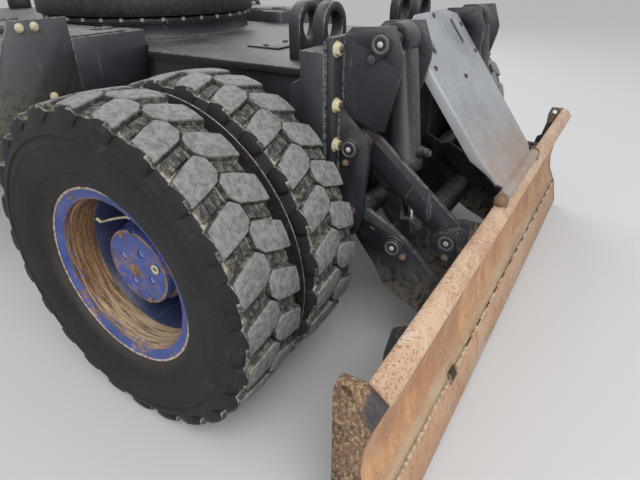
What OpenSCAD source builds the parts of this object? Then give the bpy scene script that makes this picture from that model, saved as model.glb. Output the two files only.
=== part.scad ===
// Undercarriage of a twin-tyred wheeled excavator with a dozer blade at its rear.
// Millimetres. Origin on the ground under the slewing axis, +X forward, +Y left, +Z up.
// Side outlines use two measures: u, the distance behind the rear axle, and z, the height.

/* [Axles] */
// Distance from the slewing axis back to the rear axle
rear_axle = 1100; // [1050:5:1150]
// Distance from the slewing axis forward to the front axle
front_axle_x = 1500; // [1450:5:1550]
// Rolling radius of the tyres, which is also the axle height
tyre_r = 525; // [515:1:535]
// Distance from the centre plane to the middle of a pair of tyres
pair_y = 964; // [955:1:980]
// Distance between the middles of twin tyres
twin_pitch = 318; // [312:1:330]
// Radius of the axle tubes
axle_tube_r = 105; // [90:1:115]
// Radius of the rear differential housing
rear_diff_r = 190; // [170:1:195]
// Radius of the front differential housing
front_diff_r = 160; // [145:1:165]
// Distance from the centre plane to the kingpins
kingpin_y = 700; // [695:1:708]
// Radius of the kingpins
kingpin_r = 25; // [20:1:30]
// Half height of the knuckle between the two arms of the axle fork
knuckle_h = 112; // [105:1:118]
// Thickness of an arm of the axle fork
fork_t = 46; // [35:1:55]
// Largest radius of an arm of the axle fork round its kingpin
fork_r = 58; // [50:1:60]
// Distance from the front axle forward to the steering cylinder
steer_arm_x = 225; // [222:1:235]
// Distance from the centre plane to the ends of the steering arms
steer_arm_y = 620; // [610:1:630]

/* [Tyres] */
// Width over the sidewalls of one tyre
tyre_w = 278; // [270:1:285]
// Width of the tread
tread_w = 236; // [220:1:240]
// Depth of the tread grooves
groove = 24; // [15:1:28]
// Radius at which the sidewall is widest
bulge_r = 400; // [390:1:410]
// Radius of the rim's bead seat
bead_r = 254; // [250:1:258]
// Radius of the rim's flange
flange_r = 292; // [288:1:296]
// Distance between the two flanges of a rim
rim_w = 166; // [160:1:170]
// Thickness of a rim flange along the axle
flange_t = 12; // [8:1:14]
// Thickness of the rim's base
rim_t = 9; // [6:1:12]

/* [Hubs] */
// Radius of the hub's pilot, on which both wheel discs sit
pilot_r = 140; // [130:1:145]
// Radius of the stud flange
stud_flange_r = 196; // [190:1:205]
// Radius of the planetary housing's end cover
cover_r = 128; // [118:1:132]
// Distance from the centre plane to the outer face of the cover
cover_y = 1142; // [1130:1:1155]
// Thickness of a wheel disc
disc_t = 14; // [10:1:18]
// Radius of the wheel spindle
spindle_r = 62; // [55:1:68]
// Outer radius of the ring that keeps stones out from between the tyres
guard_ring_r = 482; // [475:1:486]

/* [Frame] */
// Height of the frame's top plate
frame_top = 1050; // [1040:5:1060]
// Half width of the frame over the rear axle
rear_half_w = 570; // [560:5:580]
// Half width of the frame between the axles
mid_half_w = 455; // [440:5:460]
// Half width of the frame over the front axle
front_half_w = 380; // [360:5:390]
// Height of the underside of the frame over the rear axle
rear_under = 725; // [720:5:740]
// Height of the underside of the frame between the axles
mid_under = 640; // [630:5:680]
// Height of the underside of the frame over the front axle
front_under = 800; // [790:5:820]
// Overhang of the top plate over the side plates
lip = 18; // [10:1:25]
// Thickness of the top plate
top_t = 22; // [16:1:30]
// Distance behind the rear axle of the end block's face, where the blade gear is bolted on
end_u = 350; // [345:1:355]
// Length of the end block
end_len = 88; // [80:1:89]
// Half width of the end block
end_half_w = 620; // [610:5:640]

/* [Slewing ring] */
// Radius of the drum under the slewing ring
drum_r = 500; // [490:5:505]
// Height of the top of the drum
drum_top = 1128; // [1120:1:1135]
// Radius of the opening in the drum
well_r = 350; // [330:5:360]
// Outer radius of the turning race
race_r = 530; // [528:1:533]
// Height of the turning race
race_h = 72; // [65:1:80]
// Radius of the raceway between the fixed and the turning race
raceway_r = 462; // [455:1:468]
// Radius of the tips of the ring gear's teeth
gear_tip_r = 396; // [390:1:400]
// Depth of the ring gear's teeth
tooth_h = 18; // [14:1:22]
// Number of teeth of the ring gear
teeth = 90; // [80:1:96]
// Radius of the bolt circle of the turning race
race_bolt_r = 499; // [496:1:502]
// Number of bolts of the turning race
race_bolts = 36; // [30:1:40]
// Radius of the bolt holes of the turning race
race_hole_r = 11; // [9:0.5:12]

/* [Blade gear] */
// Distance behind the rear axle of the pins on the bracket
bracket_pin_u = 420; // [415:1:425]
// Height of the lower bracket pin, about which the lift arms turn
low_pin_z = 550; // [545:1:555]
// Height between the lower and the upper pins of the parallelogram
pin_rise = 265; // [260:1:270]
// Distance back from a bracket pin to its blade pin
link_u = 342; // [335:1:348]
// Drop from a bracket pin to its blade pin
link_drop = 275; // [270:1:280]
// Radius of the pins of the parallelogram
pin_r = 27; // [22:1:30]
// Distance behind the rear axle of the cylinders' upper pin
cyl_pin_u = 500; // [495:1:505]
// Height of the cylinders' upper pin
cyl_pin_z = 1135; // [1130:1:1140]
// Distance behind the rear axle of the rod eyes
rod_eye_u = 588; // [583:1:593]
// Height of the rod eyes
rod_eye_z = 485; // [480:1:490]
// Distance from the centre plane to the cylinders
cyl_y = 410; // [405:1:410]
// Radius of the cylinder barrels
barrel_r = 52; // [46:1:54]
// Radius of the cylinder rods
rod_r = 28; // [24:1:28]
// Thickness of the plates of arms and brackets
plate_t = 20; // [16:1:20]
// Side gap between plates that move past each other
side_gap = 5; // [5:0.5:7]

/* [Blade] */
// Half width of the blade
blade_half_w = 1275; // [1265:5:1285]
// Distance behind the rear axle of the cutting edge's point
edge_u = 925; // [920:1:930]
// Height of the cutting edge's point above the ground
edge_z = 20; // [15:1:30]
// Thickness of the mouldboard
board_t = 24; // [16:1:30]
// Thickness of the end plates
end_plate_t = 25; // [16:1:30]
// Thickness of the cutting edge
edge_t = 25; // [20:1:30]
// Radius of the guard's hinge rod
guard_rod_r = 14; // [12:1:16]
// Length of the guard plate from its hinge up
guard_len = 700; // [680:5:705]
// Half width of the flat part of the guard plate
guard_half_w = 262; // [250:1:266]
// Thickness of the guard plate
guard_t = 8; // [6:1:10]

/* [Sides] */
// Distance behind the slewing axis of the end of the toolbox and the steps
side_rear_x = 500; // [490:5:505]
// Distance in front of the slewing axis of the end of the toolbox
box_front_x = 400; // [380:5:420]
// Length of the steps
step_len = 600; // [560:5:640]
// Inner side of the toolbox beside the drum
box_in_y = 548; // [546:1:556]
// Outer side of the toolbox
box_out_y = 800; // [790:5:805]
// Height of the toolbox's rim
box_top = 1106; // [1100:1:1110]
// Height of the toolbox's floor
box_floor = 900; // [890:5:920]
// Thickness of sheet pieces
sheet_t = 6; // [5:1:8]
// Height of the lower step
step_z = 740; // [730:5:760]
// Outer side of the steps
step_out_y = 1180; // [1170:5:1200]

/* [Hidden] */
$fn = 64;

// Running clearance of a pin in its bore
run = 0.1;
// Gap between pieces that are seated on each other but not joined
seat = 0.2;
axle_z = tyre_r;
mid_pin_z = low_pin_z + pin_rise;
blade_pin_u = bracket_pin_u + link_u;
blade_low_z = low_pin_z - link_drop;
blade_mid_z = mid_pin_z - link_drop;

// Colours as the photograph shows them
frame_c = [0.16, 0.17, 0.19];
axle_c = [0.20, 0.21, 0.23];
rim_c = [0.16, 0.27, 0.42];
tyre_c = [0.12, 0.12, 0.12];
blade_c = [0.60, 0.50, 0.42];
zinc_c = [0.55, 0.56, 0.57];
rod_c = [0.80, 0.80, 0.82];
step_c = [0.50, 0.52, 0.54];

// Helpers

// A point of a side outline
function P(u, z) = [-rear_axle - u, z];
// The points of a side outline
function side(points) = [for (p = points) P(p[0], p[1])];

// A plate standing along X, from its outline in X and Z, between two distances from the centre plane
module plate_y(y0, y1) translate([0, y1, 0]) rotate([90, 0, 0]) linear_extrude(y1 - y0) children();

// A cylinder along Y through a point of a side outline
module bar_y(p, r, y0, y1) translate([p[0], y1, p[1]]) rotate([90, 0, 0]) cylinder(r = r, h = y1 - y0);

// A cylinder along X
module bar_x(r, x0, x1, y, z) translate([x0, y, z]) rotate([0, 90, 0]) cylinder(r = r, h = x1 - x0);

// The same piece on the left and on the right
module both_sides() {
    children();
    mirror([0, 1, 0]) children();
}

module on_side(left) {
    if (left) children();
    else mirror([0, 1, 0]) children();
}

// A turned piece about the wheel axis: its outline is in radius and distance from the centre plane
module turned(points) rotate([-90, 0, 0]) rotate_extrude($fn = 120) polygon(points);

// Tyres: the sidewall is two arcs that meet where it is widest
lower_arc = 160;
upper_arc = 270;
shoulder_r = tyre_r - groove;
function wall_a(r) = let (rho = r < bulge_r ? lower_arc : upper_arc)
    tyre_w / 2 - rho + sqrt(rho * rho - (r - bulge_r) * (r - bulge_r));
wall = concat([for (i = [0 : 7]) let (r = flange_r + 5 + i * (bulge_r - flange_r - 5) / 8) [r, wall_a(r)]],
              [for (i = [0 : 6]) let (r = bulge_r + i * (shoulder_r - 8 - bulge_r) / 6) [r, wall_a(r)]]);
// A half outline from the inside outwards, closed by its mirror image
function mirrored(half) = concat(half, [for (i = [len(half) - 1 : -1 : 0]) [half[i][0], -half[i][1]]]);
// Gap between the tyre's bead and the rim
bead_gap = 0.6;
tyre_half = concat(
    [[bead_r + bead_gap, rim_w / 2 - bead_gap], [flange_r + bead_gap, rim_w / 2 - bead_gap]],
    [[flange_r + bead_gap, rim_w / 2 + flange_t - 1]], wall,
    [[shoulder_r - 4, tread_w / 2 - 9], [shoulder_r, tread_w / 2 - 20]]);

// Tread: two rows of lugs that lean alike, one row half a pitch further round than the other
lugs = 24;
lug_lean = 0.34;
// Top of a lug: distance back along the tread, distance from the tyre's middle
lug_outline = [[-42, 16], [4, -9], [42, 12], [39, 112], [-39, 110]];
lug_root = shoulder_r - 10;
// How far each twin is turned on its axle, in degrees
outer_turn = 0.5;
inner_turn = 7;
// The tread falls away a little towards its shoulders
crown = 6;
tread_half = [[lug_root - 5, tread_w / 2], [tyre_r - crown, tread_w / 2], [tyre_r, 20]];

module lug() translate([0, 0, lug_root]) linear_extrude(groove + 20)
    polygon([for (p = lug_outline) [-p[0] - lug_lean * (p[1] - tread_w / 2), p[1]]]);

module tyre(y, turn) translate([0, y, 0]) {
    turned(mirrored(tyre_half));
    intersection() {
        turned(mirrored(tread_half));
        for (row = [0, 1], k = [0 : lugs - 1])
            rotate([0, turn + (k + row / 2) * 360 / lugs, 0]) mirror([0, row, 0]) lug();
    }
}

module tyres(x, left) color(tyre_c) translate([x, 0, axle_z]) on_side(left) {
    tyre(pair_y + twin_pitch / 2, outer_turn);
    tyre(pair_y - twin_pitch / 2, inner_turn);
}

// Rims: two bases with flanges, each carried by a dished disc; the discs are bolted face to face
rim_out = rim_w / 2 + flange_t;
rim_bore_r = bead_r - rim_t;
// The flange is rolled over, and the base has a gutter behind it
rim_half = [
    [bead_r, rim_w / 2], [flange_r, rim_w / 2], [flange_r, rim_out - 3], [flange_r - 3, rim_out],
    [flange_r - 7, rim_out], [flange_r - 10, rim_out - 3], [bead_r - 3, rim_w / 2 - 2],
    [bead_r - 4, rim_out - 28], [rim_bore_r, rim_out - 34]];
module rim(y) translate([0, y, 0]) turned(mirrored(rim_half));

// Distance from the discs' joint to where a disc meets its rim
dish = 128;
module disc(sign) turned([
    [pilot_r + seat, pair_y], [pilot_r + seat, pair_y + sign * disc_t],
    [stud_flange_r + 3, pair_y + sign * disc_t], [rim_bore_r + 1, pair_y + sign * (dish + disc_t)],
    [rim_bore_r + 1, pair_y + sign * dish], [stud_flange_r + 13, pair_y]]);

module rims(x, left) color(rim_c) translate([x, 0, axle_z]) on_side(left) {
    rim(pair_y + twin_pitch / 2);
    rim(pair_y - twin_pitch / 2);
    disc(1);
    disc(-1);
}

// Hubs: stud flange inboard of the discs, pilot through them, planetary housing and end cover outboard
hub_in_y = 792;
hub_bore_end = 935;
// The cover's four screws lie in round recesses
screw_circle_r = 63;
screw_turn = 26;
recess_r = 13.5;
recess_depth = 16;
hub_body_r = 150;
hub_section = [
    [spindle_r + run, hub_in_y], [118, hub_in_y], [hub_body_r, hub_in_y + 30],
    [hub_body_r, pair_y - disc_t - 30], [stud_flange_r, pair_y - disc_t - 24],
    [stud_flange_r, pair_y - disc_t - seat], [pilot_r, pair_y - disc_t - seat], [pilot_r, cover_y - 62],
    [pilot_r - 3, cover_y - 50], [cover_r, cover_y - 42], [cover_r, cover_y - 9], [cover_r - 3, cover_y - 3],
    [cover_r - 10, cover_y], [0, cover_y], [0, hub_bore_end], [spindle_r + run, hub_bore_end]];
module hub(x, left) color(rim_c) translate([x, 0, axle_z]) on_side(left) difference() {
    turned(hub_section);
    for (i = [0 : 3]) rotate([0, -screw_turn - 90 * i, 0])
        bar_y([screw_circle_r, 0], recess_r, cover_y - recess_depth, cover_y + 1);
}

// The steel ring seated between the twin tyres, against both sidewalls
ring_gap = twin_pitch / 2 - seat;
ring_in_r = 446;
ring_steps = 4;
ring_rs = [for (i = [0 : ring_steps]) ring_in_r + i * (guard_ring_r - ring_in_r) / ring_steps];
module stone_ring(x, left) color(zinc_c) translate([x, 0, axle_z]) on_side(left) turned(concat(
    [for (r = ring_rs) [r, pair_y + ring_gap - wall_a(r)]],
    [for (i = [ring_steps : -1 : 0]) [ring_rs[i], pair_y - ring_gap + wall_a(ring_rs[i])]]));

// Frame: welded box, wide over the rear axle, narrow and high over the front axle
frame_rear_x = -rear_axle - end_u + end_len;
frame_front_x = 1880;
frame_half = [
    [frame_rear_x, rear_half_w], [-rear_axle + 450, rear_half_w], [-rear_axle + 580, mid_half_w],
    [560, mid_half_w], [900, front_half_w], [frame_front_x, front_half_w]];
module frame_plan(grow) offset(delta = grow) polygon(mirrored(frame_half));

frame_side = [
    [frame_rear_x, rear_under], [-rear_axle + 300, rear_under], [-rear_axle + 420, mid_under],
    [820, mid_under], [980, front_under], [frame_front_x, front_under], [frame_front_x, frame_top],
    [frame_rear_x, frame_top]];
well_floor_z = mid_under + 60;
pivot_z = 705;
pivot_r = 32;
hanger_t = 48;
hanger_in = 122;

module chassis_frame() color(frame_c) difference() {
    union() {
        intersection() {
            translate([0, 0, mid_under - 1]) linear_extrude(frame_top - mid_under + 1) frame_plan(0);
            plate_y(-rear_half_w, rear_half_w) polygon(frame_side);
        }
        translate([0, 0, frame_top - top_t]) linear_extrude(top_t) frame_plan(lip);
        translate([0, 0, frame_top - top_t]) cylinder(r = race_r + 8, h = top_t);
        cylinder_drum();
        end_block();
        both_sides() rear_saddle();
        for (x = [front_axle_x - hanger_in - hanger_t, front_axle_x + hanger_in]) hanger(x);
    }
    translate([0, 0, well_floor_z]) cylinder(r = well_r, h = drum_top);
    bar_x(pivot_r + run, front_axle_x - 400, front_axle_x + 400, 0, pivot_z);
}

drum_h = drum_top - frame_top;
module cylinder_drum() translate([0, 0, frame_top]) rotate_extrude() polygon([
    [well_r - 1, -top_t], [drum_r, -top_t], [drum_r, drum_h - 22], [drum_r + 8, drum_h - 22],
    [drum_r + 8, drum_h], [well_r - 1, drum_h]]);

// Underside and top of the end block
end_low_z = 500;
end_top_z = 1110;
module end_block() plate_y(-end_half_w, end_half_w) polygon(side([
    [end_u, end_low_z], [end_u, end_top_z], [end_u - end_len, end_top_z],
    [end_u - end_len, frame_top - top_t], [end_u - end_len - 40, frame_top - 2 * top_t],
    [end_u - end_len - 40, rear_under],
    [end_u - end_len, end_low_z]]));

// The rear axle is bolted up against a saddle under each side plate
saddle_y = 400;
saddle_low = axle_z + 118;
module rear_saddle() translate([-rear_axle - 150, saddle_y - 70, saddle_low])
    cube([300, 140, rear_under + 1 - saddle_low]);

// The hangers of the front axle's pivot
module hanger(x) translate([x, 0, 0]) rotate([90, 0, 90]) linear_extrude(hanger_t) difference() {
    hull() {
        translate([0, pivot_z]) circle(r = 70);
        translate([-200, front_under]) square([400, 10]);
    }
    translate([0, pivot_z]) circle(r = pivot_r + run);
}

// Lashing eyes: two thick plates with one bore line on each side, at both ends of the frame
eye_r = 75;
eye_hole_r = 48;
rear_eye_y = 400;
front_eye_y = 300;
eye_z = frame_top + 107;
eye_t = 45;
rear_eye_x = -rear_axle - 143.5;
eye_gap = 94;
front_eye_x = 1780;
module eye(x, y) translate([x, y, 0]) rotate([90, 0, 90]) linear_extrude(eye_t) difference() {
    union() {
        translate([0, eye_z]) circle(r = eye_r);
        translate([-eye_r, frame_top + seat]) square([2 * eye_r, eye_z - frame_top - seat]);
    }
    translate([0, eye_z]) circle(r = eye_hole_r);
}

module lashing_eyes() color(frame_c) both_sides() {
    eye(rear_eye_x - eye_gap - eye_t / 2, rear_eye_y);
    eye(rear_eye_x - eye_t / 2, rear_eye_y);
    eye(front_eye_x - eye_t / 2, front_eye_y);
}

// Slewing ring: toothed inner race fixed on the drum, outer race turning on it
race_gap = 0.6;
module slew_race_fixed() color(zinc_c) difference() {
    translate([0, 0, drum_top + seat]) cylinder(r = raceway_r - race_gap / 2, h = race_h - 10, $fn = 120);
    translate([0, 0, drum_top - 1]) linear_extrude(race_h + 10) ring_gear_space();
}

// The open space inside the ring gear, between its teeth
module ring_gear_space() {
    circle(r = gear_tip_r);
    for (i = [0 : teeth - 1]) rotate(i * 360 / teeth) translate([gear_tip_r - 4, 0]) polygon([
        [0, -9.5], [tooth_h + 4, -5], [tooth_h + 4, 5], [0, 9.5]]);
}

module slew_ring() color(zinc_c) difference() {
    translate([0, 0, drum_top + 10]) cylinder(r = race_r, h = race_h, $fn = 120);
    translate([0, 0, drum_top]) cylinder(r = raceway_r + race_gap / 2, h = race_h + 20, $fn = 120);
    for (i = [0 : race_bolts - 1]) rotate(i * 360 / race_bolts) translate([race_bolt_r, 0, drum_top])
        cylinder(r = race_hole_r, h = race_h + 20, $fn = 24);
}

module swivel_joint() color(zinc_c) {
    translate([0, 0, well_floor_z + seat]) cylinder(r = 95, h = 330);
    translate([0, 0, well_floor_z + 330]) cylinder(r = 70, h = 90);
    for (i = [0 : 5]) rotate(60 * i + 15) translate([60, 0, well_floor_z + 100]) rotate([0, 90, 0])
        cylinder(r = 15, h = 62);
}

// Axles
rear_axle_half = [
    [0, hub_bore_end - 4], [spindle_r, hub_bore_end - 4], [spindle_r, hub_in_y - 12], [108, hub_in_y - 12],
    [132, hub_in_y - 20], [132, hub_in_y - 50], [axle_tube_r, hub_in_y - 80], [axle_tube_r, 260],
    [rear_diff_r - 25, 130], [rear_diff_r, 80]];
module rear_axle_housing() color(axle_c) translate([-rear_axle, 0, axle_z]) {
    rotate([-90, 0, 0]) rotate_extrude() polygon(mirrored(rear_axle_half));
    both_sides() translate([-140, saddle_y - 65, 0]) cube([280, 130, saddle_low - axle_z - seat]);
    bar_x(rear_diff_r - 60, -rear_diff_r - 20, 0, 0, 0);
    bar_x(rear_diff_r - 45, 0, rear_diff_r + 40, 0, 0);
}

gearbox_x = -rear_axle + rear_diff_r + 40 + seat;
shaft_z = axle_z - 20;
module travel_gearbox() color(axle_c) {
    translate([gearbox_x, 0, 0]) rotate([90, 0, 90]) linear_extrude(180) hull() {
        translate([0, axle_z]) circle(r = 120);
        translate([60, axle_z - 40]) circle(r = 115);
    }
    bar_x(85, gearbox_x + 180, gearbox_x + 400, 90, axle_z - 30);
    bar_x(52, gearbox_x + 180, gearbox_x + 215, -55, shaft_z);
}

pinion_x = front_axle_x - front_diff_r - 70;
module drive_shaft() color(axle_c) {
    x0 = gearbox_x + 215 + seat;
    x1 = pinion_x - seat;
    shaft_y0 = -55;
    bar_x(50, x0, x0 + 18, shaft_y0, shaft_z);
    bar_x(50, x1 - 18, x1, 0, axle_z);
    hull() {
        translate([x0 + 18, shaft_y0, shaft_z]) rotate([0, 90, 0]) cylinder(r = 30, h = 2, $fn = 32);
        translate([x1 - 20, 0, axle_z]) rotate([0, 90, 0]) cylinder(r = 30, h = 2, $fn = 32);
    }
}

front_axle_half = [
    [0, kingpin_y - 165], [axle_tube_r - 10, kingpin_y - 165], [axle_tube_r, 240], [front_diff_r - 20, 110],
    [front_diff_r, 60]];
module front_axle_beam() color(axle_c) translate([front_axle_x, 0, axle_z]) difference() {
    union() {
        rotate([-90, 0, 0]) rotate_extrude() polygon(mirrored(front_axle_half));
        bar_x(front_diff_r - 55, -front_diff_r - 70, 0, 0, 0);
        both_sides() axle_fork();
        hull() {
            bar_x(72, -hanger_in + side_gap, hanger_in - side_gap, 0, pivot_z - axle_z);
            translate([-hanger_in + side_gap, -130, 0]) cube([2 * (hanger_in - side_gap), 260, 10]);
        }
        bar_x(pivot_r, -hanger_in - hanger_t - 14, hanger_in + hanger_t + 14, 0, pivot_z - axle_z);
        both_sides() translate([60, 150, -30]) cube([steer_arm_x - 60 - steer_barrel_r - seat, 60, 60]);
    }
    both_sides() translate([0, kingpin_y, -400]) cylinder(r = kingpin_r + run, h = 800);
}

// One fork of the front axle, open towards the wheel, with the kingpin bores at its ends
fork_in = knuckle_h + side_gap;
module axle_fork() {
    for (s = [-1, 1]) translate([0, 0, s > 0 ? fork_in : -fork_in - fork_t]) linear_extrude(fork_t) hull() {
        translate([0, kingpin_y]) circle(r = fork_r);
        translate([-70, kingpin_y - 230]) square([140, 30]);
    }
    translate([-70, kingpin_y - 230, -fork_in - fork_t]) cube([140, 70, 2 * (fork_in + fork_t)]);
}

module knuckle(left) color(axle_c) translate([front_axle_x, 0, axle_z]) on_side(left) {
    translate([0, kingpin_y, -knuckle_h]) cylinder(r = 60, h = 2 * knuckle_h);
    for (s = [-1, 1]) translate([0, kingpin_y, s > 0 ? knuckle_h - 1 : -fork_in - fork_t - 12])
        cylinder(r = kingpin_r, h = side_gap + fork_t + 13);
    turned([
        [0, kingpin_y + 20], [80, kingpin_y + 20], [108, hub_in_y - 30], [108, hub_in_y - 12],
        [spindle_r, hub_in_y - 12], [spindle_r, hub_bore_end - 4], [0, hub_bore_end - 4]]);
    translate([0, 0, -40 - 32]) linear_extrude(32) hull() {
        translate([10, kingpin_y]) circle(r = 48, $fn = 32);
        translate([steer_arm_x, steer_arm_y]) circle(r = 34, $fn = 32);
    }
}

steer_barrel_r = 42;
steer_rod_r = 20;
steer_half = 210;
steer_gland_t = 60;
module steering_cylinder() color(axle_c) translate([front_axle_x + steer_arm_x, 0, axle_z]) difference() {
    union() {
        bar_y([0, 0], steer_barrel_r, -steer_half - steer_gland_t, steer_half + steer_gland_t);
        both_sides() bar_y([0, 0], steer_barrel_r + 5, steer_half + 2, steer_half + steer_gland_t - 6);
    }
    bar_y([0, 0], steer_rod_r + run, -steer_half - steer_gland_t - 1, steer_half + steer_gland_t + 1);
}

module steering_rod() color(rod_c) {
    bar_y([front_axle_x + steer_arm_x, axle_z], steer_rod_r, -steer_arm_y, steer_arm_y);
    both_sides() translate([front_axle_x + steer_arm_x, steer_arm_y, axle_z - 35]) cylinder(r = 32, h = 65);
}

// Blade gear
// Outer and inner plates of the brackets, from the centre plane outwards
arm_out = 547;
arm_in = 300;
link_w = 30;
ear_out = arm_out - plate_t - side_gap;
link_out = ear_out - plate_t - side_gap;
link_in = link_out - link_w;

flange_plate_t = 25;
face_u = end_u + flange_plate_t;
upper_plate = [[face_u, 1150], [402, 1175], [533, 1184], [568, 1096], [565, 1063], [521, 878], [face_u, 920]];
lower_outer = [
    [face_u, 949], [422, 902], [482, 849], [486, 781], [475, 636], [478, 603], [462, 520], [440, end_low_z],
    [face_u, end_low_z]];
lower_inner = [[face_u, 880], [452, 868], [470, 815], [465, 770], [face_u, 740]];
low_inner = [[face_u, 640], [455, 600], [470, 550], [450, 505], [face_u, end_low_z]];
flange_top_z = 1150;
// Outer and inner side of a bracket's lower plates, and how far a pin stands out of its plate
lower_out = arm_out + side_gap + plate_t;
low_in = arm_in - side_gap - plate_t;
pin_end = 10;

module blade_brackets() color(frame_c) both_sides() {
    plate_y(low_in, end_half_w - 10) polygon(side([
        [end_u + seat, end_low_z], [end_u + seat, flange_top_z], [face_u + 1, flange_top_z],
        [face_u + 1, end_low_z]]));
    plate_y(arm_out - plate_t, arm_out) polygon(side(upper_plate));
    plate_y(arm_in, arm_in + plate_t) polygon(side(upper_plate));
    plate_y(arm_out + side_gap, lower_out) polygon(side(lower_outer));
    plate_y(link_in - side_gap - plate_t, link_in - side_gap) polygon(side(lower_inner));
    plate_y(low_in, arm_in - side_gap) polygon(side(low_inner));
    bar_y(P(cyl_pin_u, cyl_pin_z), pin_r, arm_in - 3, arm_out + pin_end);
    bar_y(P(bracket_pin_u, mid_pin_z), pin_r, link_in - side_gap - plate_t - pin_end, lower_out + pin_end);
    bar_y(P(bracket_pin_u, low_pin_z), pin_r, low_in - pin_end, lower_out + pin_end);
}

// The cross member between the brackets, above which the guard ends
cross_low_z = 520;
cross_top_z = 1118;
module bracket_cross() color(frame_c) plate_y(-low_in + seat, low_in - seat) polygon(side([
    [end_u + seat, cross_low_z], [end_u + seat, cross_top_z], [face_u, cross_top_z], [face_u, cross_low_z]]));

// Radius of the bosses round the pins, which turn just clear of the bracket's face
boss_r = bracket_pin_u - face_u - side_gap;

// Lift arms: two plates each, joined by bosses at the pins and by one cross tube
arm_plate = [
    [484, 600], [428, 589], [424, 511], [433, 506], [451, 478], [521, 390], [562, 317], [621, 285],
    [680, 262], [735, 235], [780, 232], [808, 255], [812, 290], [795, 330], [752, 400],
    [642, 509], [578, 557]];
// Ends of the cylinder pins in the outer plates
eye_boss_r = 34;
eye_boss_t = 3;
module lift_arms() color(frame_c) {
    both_sides() difference() {
        union() {
            plate_y(arm_out - plate_t, arm_out) polygon(side(arm_plate));
            plate_y(arm_in, arm_in + plate_t) polygon(side(arm_plate));
            bar_y(P(bracket_pin_u, low_pin_z), boss_r, arm_in, arm_out);
            bar_y(P(blade_pin_u, blade_low_z), boss_r, arm_in, arm_out);
            bar_y(P(rod_eye_u, rod_eye_z), eye_boss_r, arm_out - 1, arm_out + eye_boss_t);
        }
        bar_y(P(bracket_pin_u, low_pin_z), pin_r + run, arm_in - 1, arm_out + 1);
        bar_y(P(blade_pin_u, blade_low_z), pin_r + run, arm_in - 1, arm_out + 1);
    }
    bar_y(P(560, 400), 55, -arm_in - 1, arm_in + 1);
}

link_plate = [[425, 855], [488, 841], [794, 592], [800, 556], [762, 502], [720, 540], [461, 736], [430, 777]];
module upper_links() color(frame_c) both_sides() difference() {
    union() {
        plate_y(link_in + 5, link_out - 5) polygon(side(link_plate));
        bar_y(P(bracket_pin_u, mid_pin_z), boss_r, link_in, arm_out - 2);
        bar_y(P(blade_pin_u, blade_mid_z), boss_r, link_in, link_out);
    }
    bar_y(P(bracket_pin_u, mid_pin_z), pin_r + run, link_in - 1, arm_out + 1);
    bar_y(P(blade_pin_u, blade_mid_z), pin_r + 0.5, link_in - 1, link_out + 1);
}

// Blade: the mouldboard is a bent plate under a folded top beam
board_front = [[868, 480], [846, 390], [840, 310], [852, 235], [888, 165]];
board_back = [for (i = [len(board_front) - 1 : -1 : 0]) [board_front[i][0] - board_t, board_front[i][1]]];
blade_top_z = 602;
module board_outline() polygon(side(concat(
    [[900, 565]], board_front, board_back, [[844, blade_top_z], [872, blade_top_z]])));

// Upright ribs behind the mouldboard, outside the arms
rib_ys = [760, 1020];
rib_t = 16;
rib = [[850, 590], [800, 560], [785, 480], [780, 310], [800, 230], [862, 185], [830, 300], [850, 470]];

ear_low = [[830, 330], [740, 330], [712, 300], [712, 250], [740, 222], [845, 215]];
ear_mid = [[850, 601], [790, blade_top_z], [745, 588], [710, 560], [712, 510], [745, 490], [850, 470]];
module blade_board() color(blade_c) union() {
    plate_y(-blade_half_w + end_plate_t, blade_half_w - end_plate_t) board_outline();
    both_sides() {
        for (y = [low_in, arm_out + side_gap])
            plate_y(y, y + plate_t) polygon(side(ear_low));
        for (y = [link_in - side_gap - plate_t, ear_out - plate_t])
            plate_y(y, y + plate_t) polygon(side(ear_mid));
        for (y = rib_ys) plate_y(y, y + rib_t) polygon(side(rib));
        bar_y(P(blade_pin_u, blade_low_z), pin_r, low_in - 8, lower_out + 8);
        bar_y(P(blade_pin_u, blade_mid_z), pin_r, link_in - side_gap - plate_t - 1, ear_out + 2);
    }
}

end_outline = concat([[895, 563]], [for (i = [0 : 3]) board_front[i]], [
    [895, 150], [edge_u, edge_z + 2], [850, edge_z + 2], [775, 120], [775, 560], [785, 599], [812, 600],
    [845, blade_top_z]]);
eye_u = 806;
blade_eye_z = 575;
blade_eye_r = 14;
module blade_ends() color(blade_c) both_sides() difference() {
    plate_y(blade_half_w - end_plate_t + seat, blade_half_w) polygon(side(end_outline));
    bar_y(P(eye_u, blade_eye_z), blade_eye_r, blade_half_w - 100, blade_half_w + 1);
}

// The cutting edge is bolted on under the mouldboard
module cutting_edge() color(blade_c) plate_y(-blade_half_w + end_plate_t, blade_half_w - end_plate_t)
    polygon(side([
        [893 - edge_t, 148], [888, 160], [895, 150], [edge_u, edge_z], [edge_u - edge_t, edge_z + 6]]));

// Guard: a folded plate hinged on a rod over the blade, its upper end leaning over the cross member
hinge_u = 865;
hinge_z = 628;
guard_top = [430, 1186];
lug_in_y = guard_half_w + 6;
lug_t = 14;
module guard_rod() color(blade_c) {
    bar_y(P(hinge_u, hinge_z), guard_rod_r, -lug_in_y - lug_t - 3, lug_in_y + lug_t + 3);
    both_sides() plate_y(lug_in_y, lug_in_y + lug_t) polygon(side([
        [840, blade_top_z + seat], [840, 630], [855, 645], [875, 645], [888, 630],
        [888, blade_top_z + seat]]));
}

guard_angle = atan2(guard_top[1] - hinge_z, hinge_u - guard_top[0]);
// Width and fold of the flanges along its sides
guard_flange_w = 30;
guard_fold = 30;
// Cut corners of its upper end
guard_cut = 30;
guard_tip_half = 155;
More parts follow.
